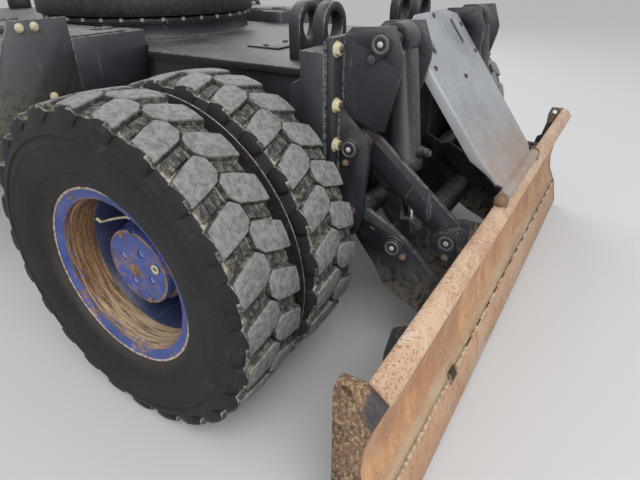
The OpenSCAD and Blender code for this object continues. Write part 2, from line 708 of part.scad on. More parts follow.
// Slots near its upper end: width, start and end as distances from the hinge, distance from the middle
slot_w = 20;
slot_from = 543;
slot_to = 650;
slot_y = 155;
guard_plan = [
    [0, guard_half_w], [guard_len - guard_cut, guard_half_w], [guard_len, guard_tip_half],
    [guard_len, -guard_tip_half], [guard_len - guard_cut, -guard_half_w], [0, -guard_half_w]];
module guard_flange() translate([0, guard_half_w, -guard_t / 2]) rotate([-guard_fold, 0, 0])
    linear_extrude(guard_t) polygon([
        [60, -1], [90, guard_flange_w], [guard_len - guard_cut - 30, guard_flange_w],
        [guard_len - guard_cut, -1]]);

module on_hinge() translate([-rear_axle - hinge_u, 0, hinge_z]) rotate([0, -guard_angle, 0]) children();
module guard() color(zinc_c) on_hinge() difference() {
    union() {
        translate([0, 0, -guard_t / 2]) linear_extrude(guard_t) polygon(guard_plan);
        both_sides() guard_flange();
        bar_y([0, 0], guard_rod_r + 7, -guard_half_w, guard_half_w);
    }
    bar_y([0, 0], guard_rod_r + run, -guard_half_w - 40, guard_half_w + 40);
    both_sides() translate([0, slot_y, -guard_t]) linear_extrude(2 * guard_t) {
        translate([slot_from, -slot_w / 2]) square([slot_to - slot_from, slot_w]);
        for (x = [slot_from, slot_to]) translate([x, 0]) circle(r = slot_w / 2, $fn = 24);
    }
}

// Cylinders, drawn along their own line from the upper pin to the rod eye
cyl_len = sqrt(pow(rod_eye_u - cyl_pin_u, 2) + pow(cyl_pin_z - rod_eye_z, 2));
cyl_angle = atan2(rod_eye_u - cyl_pin_u, cyl_pin_z - rod_eye_z);
barrel_len = 415;
rod_eye_w = 44;
module along_cylinder() both_sides() translate([-rear_axle - cyl_pin_u, cyl_y, cyl_pin_z])
    rotate([0, cyl_angle, 0]) children();

module cylinder_barrels() color(frame_c) along_cylinder() difference() {
    union() {
        rotate([90, 0, 0]) translate([0, 0, -40]) cylinder(r = 50, h = 80);
        translate([0, 0, -barrel_len]) cylinder(r = barrel_r, h = barrel_len - 30);
        translate([0, 0, -barrel_len]) cylinder(r = barrel_r + 4, h = 40);
    }
    rotate([90, 0, 0]) translate([0, 0, -60]) cylinder(r = pin_r + run, h = 120);
    translate([0, 0, -barrel_len - 1]) cylinder(r = rod_r + run, h = barrel_len - 80);
}

module cylinder_rods() color(rod_c) along_cylinder() {
    translate([0, 0, -cyl_len]) cylinder(r = rod_r, h = cyl_len - 275);
    translate([0, 0, -cyl_len]) bar_y([0, 0], 54, -rod_eye_w / 2, rod_eye_w / 2);
    translate([0, 0, -cyl_len]) bar_y([0, 0], pin_r, arm_in + plate_t + side_gap - cyl_y, rod_eye_w / 2 + 2);
}

// Toolboxes and steps
box_len = side_rear_x + box_front_x;
box_w = box_out_y - box_in_y;
// The toolbox reaches the frame behind the drum
box_back_y = mid_half_w + lip + seat;
box_plan = [
    [-side_rear_x, box_back_y], [-side_rear_x, box_out_y], [box_front_x, box_out_y], [box_front_x, box_in_y],
    [-300, box_in_y], [-390, box_back_y]];
box_wall = 14;
box_end_wall = 20;
module toolboxes() color(step_c) both_sides() difference() {
    translate([0, 0, box_floor]) linear_extrude(box_top - box_floor) polygon(box_plan);
    translate([-side_rear_x + box_end_wall, box_in_y + box_wall, box_floor + sheet_t])
        cube([box_len - 2 * box_end_wall, box_w - 2 * box_wall, box_top - box_floor]);
}

module toolbox_lid(left) color(step_c) on_side(left)
    translate([-side_rear_x + 8, box_in_y + 6, box_top + seat]) cube([box_len - 16, box_w - 8, sheet_t]);

// Steps: two treads between cheeks that hang on the toolbox's outer wall
cheek_top_z = 1177;
cheek_low_z = 650;
upper_step_z = 1084;
upper_step_out = 1050;
lower_step_in = 1000;
cheek = [
    [box_out_y + seat, box_floor], [box_out_y + seat, cheek_top_z], [upper_step_out - 45, cheek_top_z],
    [upper_step_out + 10, upper_step_z - 4], [step_out_y, step_z + 20], [step_out_y, cheek_low_z],
    [1090, cheek_low_z], [960, box_floor]];
// A folded rim in front of a tread
tread_rim = 22;
module tread(y0, y1, z) translate([-side_rear_x + 1, 0, 0]) {
    translate([0, y0, z]) cube([step_len - 2, y1 - y0, sheet_t]);
    translate([0, y1 - sheet_t, z - tread_rim]) cube([step_len - 2, sheet_t, tread_rim + sheet_t]);
}
module steps() color(step_c) both_sides() {
    for (x = [-side_rear_x, -side_rear_x + step_len - sheet_t])
        translate([x, 0, 0]) rotate([90, 0, 90]) linear_extrude(sheet_t) polygon(cheek);
    tread(lower_step_in, step_out_y, step_z);
    tread(box_out_y + seat, upper_step_out + seat, upper_step_z);
}

// Tow bracket: two shelves with a pin hole on a plate in front of the frame
tow_pin_x = 1950;
tow_hole_r = 20;
tow_plate_t = 24;
tow_shelf_t = 25;
tow_half_w = 60;
module tow_bracket() color(frame_c) difference() {
    union() {
        translate([frame_front_x + seat, -150, 820]) cube([tow_plate_t, 300, 200]);
        for (z = [860, 940]) {
            translate([frame_front_x + tow_plate_t - 4, -tow_half_w, z])
                cube([tow_pin_x - frame_front_x - tow_plate_t + 4, 2 * tow_half_w, tow_shelf_t]);
            translate([tow_pin_x, 0, z]) cylinder(r = 45, h = tow_shelf_t);
        }
    }
    translate([tow_pin_x, 0, 800]) cylinder(r = tow_hole_r, h = 300);
}

chassis_frame();
slew_race_fixed();
lashing_eyes();
blade_brackets();
bracket_cross();
rear_axle_housing();
travel_gearbox();
front_axle_beam();
drive_shaft();
swivel_joint();
steps();
toolboxes();
tow_bracket();
steering_cylinder();
slew_ring();
knuckle(true);  // knuckle_left
knuckle(false);  // knuckle_right
steering_rod();
tyres(-rear_axle, true);  // tyres_rear_left
tyres(-rear_axle, false);  // tyres_rear_right
tyres(front_axle_x, true);  // tyres_front_left
tyres(front_axle_x, false);  // tyres_front_right
rims(-rear_axle, true);  // rims_rear_left
rims(-rear_axle, false);  // rims_rear_right
rims(front_axle_x, true);  // rims_front_left
rims(front_axle_x, false);  // rims_front_right
hub(-rear_axle, true);  // hub_rear_left
hub(-rear_axle, false);  // hub_rear_right
hub(front_axle_x, true);  // hub_front_left
hub(front_axle_x, false);  // hub_front_right
stone_ring(-rear_axle, true);  // stone_ring_rear_left
stone_ring(-rear_axle, false);  // stone_ring_rear_right
stone_ring(front_axle_x, true);  // stone_ring_front_left
stone_ring(front_axle_x, false);  // stone_ring_front_right
lift_arms();
upper_links();
blade_board();
blade_ends();
cutting_edge();
guard_rod();
guard();
cylinder_barrels();
cylinder_rods();
toolbox_lid(true);  // toolbox_lid_left
toolbox_lid(false);  // toolbox_lid_right
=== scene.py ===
import math
import bpy
from mathutils import Matrix, Vector


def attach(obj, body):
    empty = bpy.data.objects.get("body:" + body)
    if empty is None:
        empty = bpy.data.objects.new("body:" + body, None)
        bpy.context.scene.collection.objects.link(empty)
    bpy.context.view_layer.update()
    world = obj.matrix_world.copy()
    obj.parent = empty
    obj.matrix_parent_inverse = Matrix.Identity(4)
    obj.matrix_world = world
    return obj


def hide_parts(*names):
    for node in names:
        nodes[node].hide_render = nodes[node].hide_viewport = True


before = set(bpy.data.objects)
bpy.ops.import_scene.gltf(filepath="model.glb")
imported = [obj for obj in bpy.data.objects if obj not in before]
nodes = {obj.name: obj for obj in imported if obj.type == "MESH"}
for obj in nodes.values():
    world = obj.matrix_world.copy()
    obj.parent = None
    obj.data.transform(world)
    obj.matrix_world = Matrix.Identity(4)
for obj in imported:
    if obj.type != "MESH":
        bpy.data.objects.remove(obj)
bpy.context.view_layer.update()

# Sizes in metres, as the frame has them: +X forward, +Y left, +Z up
REAR_X = -1.1
FRONT_X = 1.5
AXLE_Z = 0.525
PAIR_Y = 0.964
TWIN = 0.318
TYRE_HALF_W = 0.139
LUGS = 24
WHEELS = {
    "rear_left": (REAR_X, 1), "rear_right": (REAR_X, -1),
    "front_left": (FRONT_X, 1), "front_right": (FRONT_X, -1),
}
MERGE_WITHIN = 0.00002
# The mirror image on the right, and turns that point +Y to the rear and +Y to the top
BESIDE = Matrix.Scale(-1, 4, (0, 1, 0))
BACKWARD = Matrix.Rotation(math.radians(90), 4, "Z")
UPWARD = Matrix.Rotation(math.radians(90), 4, "X")


# Handling of objects and selections

def drop_selection():
    bpy.ops.object.select_all(action="DESELECT")
    bpy.context.view_layer.objects.active = None


def pick(*objects):
    drop_selection()
    for o in objects:
        o.select_set(True)
    bpy.context.view_layer.objects.active = objects[0]


def edit(o):
    """Opens the mesh with all of it selected."""
    pick(o)
    bpy.ops.object.mode_set(mode="EDIT")
    bpy.ops.mesh.select_all(action="SELECT")


def done():
    bpy.ops.object.mode_set(mode="OBJECT")


def across(side):
    """Nothing for the left side (1), the mirror image for the right one (-1)."""
    return Matrix.Scale(side, 4, (0, 1, 0))


def settle(o):
    """Puts the object's place into its mesh."""
    pick(o)
    bpy.ops.object.transform_apply(location=True, rotation=True, scale=True)
    return o


def add_modifier(o, kind, **settings):
    m = o.modifiers.new(kind.title(), kind)
    for key, value in settings.items():
        setattr(m, key, value)
    return m


def modify(o, kind, **settings):
    """Adds one modifier with its settings and applies it."""
    pick(o)
    m = add_modifier(o, kind, **settings)
    bpy.ops.object.modifier_apply(modifier=m.name)


def break_edges(o, width, degrees=50, segments=2):
    """Bevels the edges that are sharper than the angle."""
    modify(o, "BEVEL", width=width, segments=segments, limit_method="ANGLE",
           angle_limit=math.radians(degrees))
    return o


def joined(name, objects):
    pick(*objects)
    if len(objects) > 1:
        bpy.ops.object.join()
    o = bpy.context.view_layer.objects.active
    o.name = name
    o.data.name = name
    return o


def copy_at(o, matrix, name=None):
    """A copy with its own mesh, carried to a new place."""
    c = o.copy()
    c.data = o.data.copy()
    c.data.transform(matrix)
    if matrix.determinant() < 0:
        c.data.flip_normals()
    bpy.context.scene.collection.objects.link(c)
    if name:
        c.name = name
    return c


def put(o, place, turn=Matrix.Identity(4), name=None):
    """A copy, turned about the origin and set at a place."""
    return copy_at(o, Matrix.Translation(place) @ turn, name)


def moved(o, matrix):
    """Carries the object's own mesh."""
    o.data.transform(matrix)
    return o


def finish_with(o, *finishes):
    o.data.materials.clear()
    for f in finishes:
        o.data.materials.append(f)
    return o


def faces_take(o, index, test):
    """Faces whose centre passes the test, by its radius about Y and its y, take that material slot."""
    for p in o.data.polygons:
        if test(math.hypot(p.center.x, p.center.z), p.center.y):
            p.material_index = index


def smooth(o, degrees=32):
    pick(o)
    bpy.ops.object.shade_smooth_by_angle(angle=math.radians(degrees))


def delete(*objects):
    for o in objects:
        bpy.data.objects.remove(o, do_unlink=True)


# Finishes

def operator(operation, swapped=False):
    """A method that adds one Math node; swapped puts the other operand first."""
    def method(self, other):
        a, b = (other, self) if swapped else (self, other)
        return self.math(operation, a, b)
    return method


class Value:
    """A socket that can be reckoned with; an expression adds its Math nodes."""

    def __init__(self, tree, socket):
        self.tree = tree
        self.socket = socket

    def math(self, operation, a, b=0.0):
        n = self.tree.nodes.new("ShaderNodeMath")
        n.operation = operation
        for slot, v in zip(n.inputs, (a, b)):
            if isinstance(v, Value):
                self.tree.links.new(v.socket, slot)
            else:
                slot.default_value = v
        return Value(self.tree, n.outputs[0])

    __add__ = operator("ADD")
    __radd__ = operator("ADD", swapped=True)
    __sub__ = operator("SUBTRACT")
    __rsub__ = operator("SUBTRACT", swapped=True)
    __mul__ = operator("MULTIPLY")
    __rmul__ = operator("MULTIPLY", swapped=True)
    __pow__ = operator("POWER")
    over = operator("MAXIMUM")


class Finish:
    """A material: its shader, its patterns and what varies over the surface."""

    def __init__(self, name, rough=0.5, metal=0.0):
        self.material = bpy.data.materials.new(name)
        self.material.use_nodes = True
        self.tree = self.material.node_tree
        self.shader = self.tree.nodes["Principled BSDF"]
        self.shader.inputs["Roughness"].default_value = rough
        self.shader.inputs["Metallic"].default_value = metal
        self.place = self.add("TexCoord", out="Object")

    def add(self, kind, out=0, settings=None, **sockets):
        """Any node: its settings, then the values or links of its sockets, by name or as _number."""
        n = self.tree.nodes.new("ShaderNode" + kind)
        for key, value in (settings or {}).items():
            setattr(n, key, value)
        for key, value in sockets.items():
            slot = n.inputs[int(key[1:])] if key[1:].isdigit() else n.inputs[key.replace("_", " ")]
            if isinstance(value, Value):
                self.tree.links.new(value.socket, slot)
            else:
                slot.default_value = value
        return Value(self.tree, n.outputs[out])

    def noise(self, scale, detail=4.0, rough=0.55, where=None):
        return self.add("TexNoise", Vector=where or self.place, Scale=scale, Detail=detail, Roughness=rough)

    def stretched(self, x, y, z):
        return self.add("Mapping", Vector=self.place, Scale=(x, y, z))

    def step(self, value, low, high):
        """0 below low, 1 above high, and smooth between; with low over high it falls instead."""
        return self.add("MapRange", settings={"interpolation_type": "SMOOTHSTEP"},
                        Value=value, From_Min=low, From_Max=high)

    def mix(self, share, a, b):
        """Colour a where share is 0 and b where it is 1."""
        a = a if isinstance(a, Value) else (*a, 1.0)
        b = b if isinstance(b, Value) else (*b, 1.0)
        return self.add("Mix", out=2, settings={"data_type": "RGBA"}, _0=share, _6=a, _7=b)

    def layered(self, colour, coats):
        """Coats over a colour: each is (pattern, low, high, share, shade), with a step from low to high."""
        for pattern, low, high, share, shade in coats:
            colour = self.mix(self.step(pattern, low, high) * share, colour, shade)
        return colour

    def part(self, axis):
        return self.add("SeparateXYZ", out=axis, Vector=self.place)

    def facing(self, axis):
        return self.add("SeparateXYZ", out=axis, Vector=self.add("TexCoord", out="Normal"))

    def from_wheel(self):
        """Distances from the nearer wheel axis, forwards and up."""
        x = self.part(0)
        return x - REAR_X - x.math("GREATER_THAN", x, 0.2) * (FRONT_X - REAR_X), self.part(2) - AXLE_Z

    def wheel_radius(self):
        x, z = self.from_wheel()
        return (x * x + z * z) ** 0.5

    def near(self, a, b, radius, ragged):
        """1 where the distance (a, b) is small, falling to 0 at the radius; ragged is added to it."""
        return 1.0 - self.step((a * a + b * b) ** 0.5 + ragged, radius * 0.7, radius)

    def set(self, socket, value):
        self.tree.links.new(value.socket, self.shader.inputs[socket])

    def finished(self, colour, rough, height, depth, strength):
        """The material, once its colour, its roughness and its relief are set."""
        self.set("Base Color", colour)
        if rough:
            self.set("Roughness", rough)
        self.set("Normal", self.add("Bump", Height=height, Distance=depth, Strength=strength))
        return self.material


SOIL = (0.3, 0.255, 0.19)
DUST = (0.36, 0.34, 0.31)
RUST = (0.22, 0.095, 0.04)


def dusty_paint(name, paint, dust, rust, soil_below=None, bosses=(), soil=SOIL):
    """Worn machine paint: dust on what faces up, chips, scratches and a little rust."""
    f = Finish(name)
    broad = f.noise(2.2, 5.0, 0.6)
    fine = f.noise(38.0, 6.0, 0.7)
    grit = f.noise(240.0, 3.0, 0.6)
    shade = f.layered(paint, [(broad, 0.3, 0.75, 1.0, tuple(c * 1.55 + 0.012 for c in paint))])
    lying = f.step(f.facing(2), 0.2, 0.95) * f.step(fine * 0.6 + broad * 0.5, 0.42, 0.62) * dust
    splash = f.step(f.noise(11.0, 8.0, 0.75), 0.6, 0.74) * 0.2 * dust
    specks = f.step(grit, 0.64, 0.7) * f.step(broad, 0.4, 0.6) * 0.5
    colour = f.mix(lying + splash + specks * dust, shade, DUST)
    scratch = f.noise(26.0, 5.0, 0.7, f.stretched(1.0, 1.0, 0.12))
    colour = f.layered(colour, [(scratch, 0.62, 0.68, 0.35, (0.24, 0.24, 0.25))])
    rusty = f.step(f.noise(17.0, 7.0, 0.8), 0.66, 0.7) * rust
    colour = f.mix(rusty, colour, RUST)
    for x, z, radius in bosses:
        worn = f.near(f.part(0) - x, f.part(2) - z, radius, fine * 0.012)
        brown = f.layered((0.12, 0.06, 0.03), [(fine, 0.42, 0.6, 1.0, (0.36, 0.27, 0.18))])
        colour = f.layered(colour, [(fine, 0.34, 0.48, worn * 0.9, brown)])
    if soil_below is not None:
        low = f.step(f.part(2) + fine * 0.16, soil_below + 0.2, soil_below)
        colour = f.layered(colour, [(fine, 0.38, 0.55, low * 0.85, soil)])
    return f.finished(colour, 0.42 + lying * 0.4 + fine * 0.12, fine * 0.6 + grit * 0.25 + rusty, 0.0006, 0.6)


def worn_edge(name, bright, dark):
    f = Finish(name, rough=0.45, metal=0.3)
    colour = f.layered(dark, [(f.noise(60.0, 5.0, 0.7), 0.4, 0.6, 1.0, bright)])
    return f.finished(colour, None, f.noise(150.0), 0.0004, 0.5)


# Rings moulded on a tyre's sidewall, by radius
SIDEWALL_RINGS = (0.336, 0.3415, 0.384, 0.4135)


def tyre_rubber(name):
    """The attribute rise is 1 on the lugs' tops, 0 on the groove floors and below 0 on the sidewalls."""
    f = Finish(name)
    rise = f.add("Attribute", out="Fac", settings={"attribute_name": "rise"})
    fine = f.noise(55.0, 6.0, 0.65)
    grit = f.noise(330.0, 4.0, 0.6)
    radius = f.wheel_radius()
    wall = f.layered((0.005, 0.005, 0.0055), (
        (f.noise(5.0, 4.0, 0.6), 0.35, 0.7, 1.0, (0.012, 0.0115, 0.0115)),
        (grit, 0.6, 0.72, 0.22, (0.1, 0.095, 0.09)),
        (f.noise(14.0, 7.0, 0.75), 0.58, 0.7, 0.26, (0.075, 0.07, 0.062)),
        (radius + fine * 0.02, 0.33, 0.3, 0.3, (0.11, 0.095, 0.075))))
    top = f.layered((0.12, 0.118, 0.114), (
        (fine, 0.35, 0.62, 1.0, (0.245, 0.24, 0.232)),
        (grit, 0.52, 0.62, 0.5, (0.34, 0.33, 0.31)),
        (f.noise(19.0, 6.0, 0.75), 0.6, 0.68, 0.55, (0.04, 0.039, 0.038))))
    floor = f.layered((0.13, 0.12, 0.1), [(fine, 0.42, 0.62, 1.0, (0.47, 0.425, 0.335))])
    flank = f.layered((0.035, 0.034, 0.032), [(fine, 0.45, 0.64, 0.8, (0.21, 0.19, 0.15))])
    colour = f.layered(wall, (
        (rise, -0.02, 0.03, 1.0, floor),
        (rise, 0.05, 0.35, 1.0, flank),
        (rise, 0.86, 0.97, 1.0, top)))
    rings = 0.0
    for at_r in SIDEWALL_RINGS:
        off = radius.math("ABSOLUTE", radius - at_r)
        rings = rings + f.step(off, 0.0018, 0.0006) * 1.6
    return f.finished(colour, 0.62 + fine * 0.25, fine * 0.7 + grit * 0.5 + rings, 0.0009, 0.8)


def rim_paint(name, rust, blue=(0.022, 0.048, 0.195), cream=0.3, edge_rust=False):
    """Blue wheel paint; rust is 0 for sound paint and 1 for a face that is rusty all over."""
    f = Finish(name)
    fine = f.noise(46.0, 7.0, 0.72)
    broad = f.noise(7.5, 5.0, 0.6)
    grit = f.noise(260.0, 4.0, 0.6)
    round_marks = f.noise(5.0, 7.0, 0.72, f.stretched(1.6, 34.0, 1.6))
    radius = f.wheel_radius()
    paint = f.layered(blue, (
        (broad, 0.3, 0.7, 1.0, tuple(c * 1.6 + 0.012 for c in blue)),
        (grit, 0.6, 0.68, 0.45, (0.3, 0.33, 0.45))))
    brown = f.layered((0.07, 0.036, 0.018), (
        (round_marks, 0.4, 0.6, 1.0, (0.37, 0.205, 0.095)),
        (fine, 0.54, 0.66, 0.6, (0.15, 0.08, 0.04))))
    dust = f.step(f.facing(2) * 0.34 + round_marks * 1.25, 0.74, 1.04) * 0.8 + f.step(grit, 0.56, 0.64) * 0.5
    brown = f.mix(dust * cream, brown, (0.62, 0.49, 0.32))
    edge = 0.74 - 0.62 * rust
    share = f.step(fine * 0.55 + broad * 0.45 + grit * 0.12, edge, edge + 0.09)
    if edge_rust:
        # Hub cover: rust in the middle, along the rim and in flecks
        x, z = f.from_wheel()
        middle = f.near(x - 0.012, z + 0.014, 0.046, fine * 0.03)
        sideways = f.facing(1)
        face = f.step(sideways.math("ABSOLUTE", sideways), 0.6, 0.9)
        rim_band = f.step(radius + fine * 0.026, 0.1275, 0.1345) * f.step(radius, 0.134, 0.131) * face
        share = (share * 0.8).over(middle).over(rim_band)
    else:
        foot = f.step(radius + fine * 0.018, 0.2665, 0.2615)
        share = share.over(foot * f.step(fine, 0.34, 0.52))
    colour = f.mix(share, paint, brown)
    return f.finished(colour, 0.4 + share * 0.48, share * 0.8 + grit * 0.5, 0.0008, 0.7)


def blade_plate(name, base, patches, dark):
    """Scraped blade steel: pale rust with scratches along the ground's direction."""
    f = Finish(name, metal=0.15)
    fine = f.noise(30.0, 8.0, 0.72)
    grit = f.noise(190.0, 4.0, 0.6)
    drag = f.noise(16.0, 6.0, 0.7, f.stretched(1.0, 0.16, 1.0))
    colour = f.layered(base, (
        (f.noise(3.4, 5.0, 0.62), 0.34, 0.66, 1.0, patches),
        (fine, 0.5, 0.66, 0.75, (0.36, 0.17, 0.085)),
        (drag, 0.56, 0.7, 0.7, (0.46, 0.43, 0.38)),
        (f.noise(9.0, 6.0, 0.7), 0.6, 0.7, 0.6, dark),
        (grit, 0.56, 0.66, 0.4, (0.55, 0.45, 0.34))))
    return f.finished(colour, 0.5 + fine * 0.35, fine * 0.8 + grit * 0.5 + drag * 0.4, 0.0011, 0.7)


def end_plate(name):
    """The blade's end plate: dark rust with cream and brown grains, bare dark paint at its upper corner."""
    f = Finish(name)
    fine = f.noise(30.0, 8.0, 0.72)
    grain = f.noise(140.0, 5.0, 0.6, f.stretched(1.0, 1.0, 0.6))
    grit = f.noise(210.0, 4.0, 0.6)
    colour = f.layered((0.07, 0.04, 0.024), (
        (f.noise(5.0, 5.0, 0.62), 0.36, 0.64, 1.0, (0.175, 0.1, 0.056)),
        (grain, 0.52, 0.6, 0.75, (0.42, 0.285, 0.155)),
        (grain, 0.45, 0.38, 0.65, (0.035, 0.025, 0.02)),
        (fine, 0.55, 0.66, 0.6, (0.34, 0.155, 0.075)),
        (grit, 0.58, 0.66, 0.45, (0.62, 0.5, 0.34))))
    corner = f.near((f.part(0) - (REAR_X - 0.893)) * 1.6, f.part(2) - 0.552, 0.105, fine * 0.03)
    colour = f.mix(corner * 0.85, colour, (0.04, 0.045, 0.055))
    return f.finished(colour, 0.6 + fine * 0.3, grain * 0.9 + grit * 0.4 + fine * 0.4, 0.0014, 0.8)


def mouldboard(name):
    """The blade's front by height: pale beam, orange hollow, scraped foot; its back keeps dark paint."""
    f = Finish(name, metal=0.05)
    fine = f.noise(30.0, 8.0, 0.72)
    broad = f.noise(3.4, 5.0, 0.62)
    freckle = f.noise(120.0, 5.0, 0.65)
    grit = f.noise(300.0, 4.0, 0.6)
    run = f.noise(13.0, 7.0, 0.72, f.stretched(1.0, 1.0, 0.14))
    drag = f.noise(16.0, 6.0, 0.7, f.stretched(1.0, 0.16, 1.0))
    z = f.part(2)
    beam = f.layered((0.62, 0.44, 0.3), (
        (broad + fine * 0.3, 0.5, 0.8, 1.0, (0.49, 0.275, 0.185)),
        (f.noise(7.0, 6.0, 0.7), 0.52, 0.66, 0.7, (0.66, 0.54, 0.38)),
        (freckle, 0.53, 0.62, f.step(broad, 0.32, 0.52) * 0.75, (0.17, 0.085, 0.045)),
        (fine, 0.56, 0.66, 0.6, (0.26, 0.12, 0.065)),
        (f.noise(5.5, 9.0, 0.82), 0.6, 0.635, 0.8, (0.12, 0.12, 0.125))))
    hollow = f.layered((0.42, 0.19, 0.082), (
        (run, 0.4, 0.62, 1.0, (0.58, 0.325, 0.165)),
        (broad, 0.44, 0.64, 0.7, (0.33, 0.165, 0.092)),
        (drag, 0.54, 0.68, 0.45, (0.5, 0.37, 0.25))))
    foot = f.layered((0.44, 0.285, 0.175), (
        (drag, 0.4, 0.62, 1.0, (0.58, 0.475, 0.335)),
        (run, 0.56, 0.68, 0.6, (0.38, 0.19, 0.09))))
    colour = f.layered(foot, (
        (z + run * 0.16, 0.235, 0.325, 1.0, hollow),
        (z + fine * 0.05, 0.515, 0.565, 1.0, beam),
        (grit, 0.54, 0.64, 0.42, (0.72, 0.61, 0.46)),
        (grit, 0.43, 0.34, 0.45, (0.2, 0.105, 0.055))))
    back = f.step(REAR_X - f.part(0), 0.836, 0.828).over(f.step(f.facing(0), 0.25, 0.5))
    black = f.layered((0.024, 0.026, 0.031), (
        (fine, 0.54, 0.68, 0.8, (0.16, 0.105, 0.065)),
        (grit, 0.58, 0.68, 0.4, (0.26, 0.22, 0.17))))
    colour = f.mix(back, colour, black)
    relief = fine * 0.8 + grit * 0.4 + freckle * 0.4 + run * 0.3
    return f.finished(colour, 0.52 + fine * 0.3, relief, 0.0012, 0.8)


def galvanised(name):
    """Zinc plate with scratches, rusting from its foot upwards."""
    f = Finish(name, metal=0.25)
    fine = f.noise(40.0, 7.0, 0.7)
    broad = f.noise(4.0, 5.0, 0.6)
    grit = f.noise(260.0, 4.0, 0.6)
    crystals = f.add("TexVoronoi", out="Distance", Vector=f.place, Scale=75.0)
    across = f.noise(34.0, 7.0, 0.75, f.stretched(0.5, 0.2, 1.0))
    down = f.noise(22.0, 6.0, 0.7, f.stretched(0.35, 1.0, 0.35))
    foot = f.step(f.part(2) + fine * 0.34 + broad * 0.45, 1.3, 0.96)
    colour = f.layered((0.235, 0.25, 0.27), (
        (broad + crystals * 0.2, 0.36, 0.72, 1.0, (0.34, 0.355, 0.375)),
        (down, 0.58, 0.68, 0.5, (0.47, 0.47, 0.46)),
        (across, 0.62, 0.7, 0.5, (0.5, 0.47, 0.42)),
        (fine, 0.3, 0.6, foot * 0.8, (0.43, 0.29, 0.2)),
        (down, 0.5, 0.64, foot * 0.7, (0.36, 0.19, 0.115)),
        (grit, 0.58, 0.68, 0.45, (0.5, 0.46, 0.4))))
    return f.finished(colour, 0.42 + foot * 0.28 + fine * 0.12, fine * 0.6 + grit * 0.4, 0.0006, 0.6)


def lift_rod(name, eye):
    """Chromed rod whose eye, about the point (x, z), is painted black and dirty."""
    f = Finish(name)
    fine = f.noise(45.0, 6.0, 0.7)
    painted = f.near(f.part(0) - eye[0], f.part(2) - eye[1], 0.085, fine * 0.02)
    black = f.layered((0.016, 0.017, 0.02), [(fine, 0.48, 0.62, 0.8, (0.13, 0.085, 0.05))])
    chrome = f.layered((0.62, 0.63, 0.65), [(fine, 0.55, 0.7, 0.2, (0.3, 0.27, 0.22))])
    f.set("Metallic", 1.0 - painted)
    colour = f.mix(painted, chrome, black)
    return f.finished(colour, 0.16 + painted * 0.4 + fine * 0.08, fine * painted, 0.0008, 0.6)


def bare_metal(name, shade, rough, metal, dirt):
    f = Finish(name, metal=metal)
    fine = f.noise(50.0, 6.0, 0.7)
    colour = f.layered(shade, [(fine, 0.42, 0.66, dirt, (0.2, 0.16, 0.12))])
    return f.finished(colour, rough + fine * 0.15, f.noise(180.0), 0.0003, 0.4)


FRAME = dusty_paint("frame_paint", (0.013, 0.015, 0.019), dust=0.24, rust=0.3)
FRAME_EDGE = worn_edge("frame_edge", (0.2, 0.2, 0.205), (0.045, 0.048, 0.055))
ARM = dusty_paint("arm_paint", (0.011, 0.013, 0.018), dust=0.45, rust=0.35, soil_below=0.36)
AXLE = dusty_paint("axle_paint", (0.03, 0.032, 0.036), dust=0.8, rust=0.5)
LINK = dusty_paint("link_paint", (0.011, 0.013, 0.018), dust=0.45, rust=0.35,
                   bosses=((-1.52, 0.815, 0.055), (-1.862, 0.54, 0.06)))
ROD = lift_rod("lift_rod", (-1.688, 0.485))
RUBBER = tyre_rubber("tyre_rubber")
RIM = rim_paint("rim_blue", 0.27, cream=0.6)
# The rim blue darkened as painted shade, for the disc and its nuts deep inside the wheel; its rust is real
RIM_PAINTED_SHADE = rim_paint("rim_painted_shade", 0.16, blue=(0.008, 0.016, 0.055), edge_rust=True)
RIM_RUST = rim_paint("rim_rust", 1.0, cream=0.75)
RIM_LIP = worn_edge("rim_lip", (0.66, 0.57, 0.49), (0.36, 0.21, 0.14))
HUB = rim_paint("hub_blue", 0.34, blue=(0.033, 0.064, 0.25), edge_rust=True)
# A pale copy of the hub blue for the recessed screws: painted light, standing for the lit far wall of each
# recess
HUB_SCREW_PAINTED_LIGHT = rim_paint("hub_screw_painted_light", 0.0, blue=(0.2, 0.23, 0.42), edge_rust=True)
BOARD = mouldboard("blade_board")
BLADE_END = end_plate("blade_end")
EDGE_STEEL = blade_plate("edge_steel", (0.5, 0.285, 0.165), (0.58, 0.4, 0.265), (0.3, 0.15, 0.075))
ZINC = galvanised("guard_zinc")
CHROME = bare_metal("rod_chrome", (0.72, 0.73, 0.75), 0.14, 1.0, 0.08)
RING_STEEL = bare_metal("ring_steel", (0.01, 0.008, 0.006), 0.6, 0.0, 0.12)
HOOP_STEEL = bare_metal("hoop_steel", (0.016, 0.015, 0.015), 0.6, 0.1, 0.15)
HOOP_EDGE = worn_edge("hoop_edge", (0.42, 0.38, 0.31), (0.14, 0.12, 0.1))
NUT_ZINC = bare_metal("nut_zinc", (0.7, 0.62, 0.42), 0.5, 0.15, 0.35)
BOLT_DARK = bare_metal("bolt_dark", (0.1, 0.095, 0.09), 0.5, 0.6, 0.6)
BOLT_RUST = bare_metal("bolt_rust", (0.3, 0.19, 0.12), 0.7, 0.2, 0.7)
NIPPLE = bare_metal("nipple", (0.55, 0.53, 0.5), 0.5, 0.25, 0.3)
PIN_EDGE = bare_metal("pin_edge", (0.16, 0.155, 0.15), 0.5, 0.5, 0.5)
VALVE = bare_metal("valve", (0.52, 0.45, 0.33), 0.5, 0.35, 0.5)
WELD = worn_edge("weld", (0.16, 0.155, 0.15), (0.02, 0.022, 0.027))
SEAM = worn_edge("seam", (0.62, 0.53, 0.4), (0.36, 0.24, 0.15))
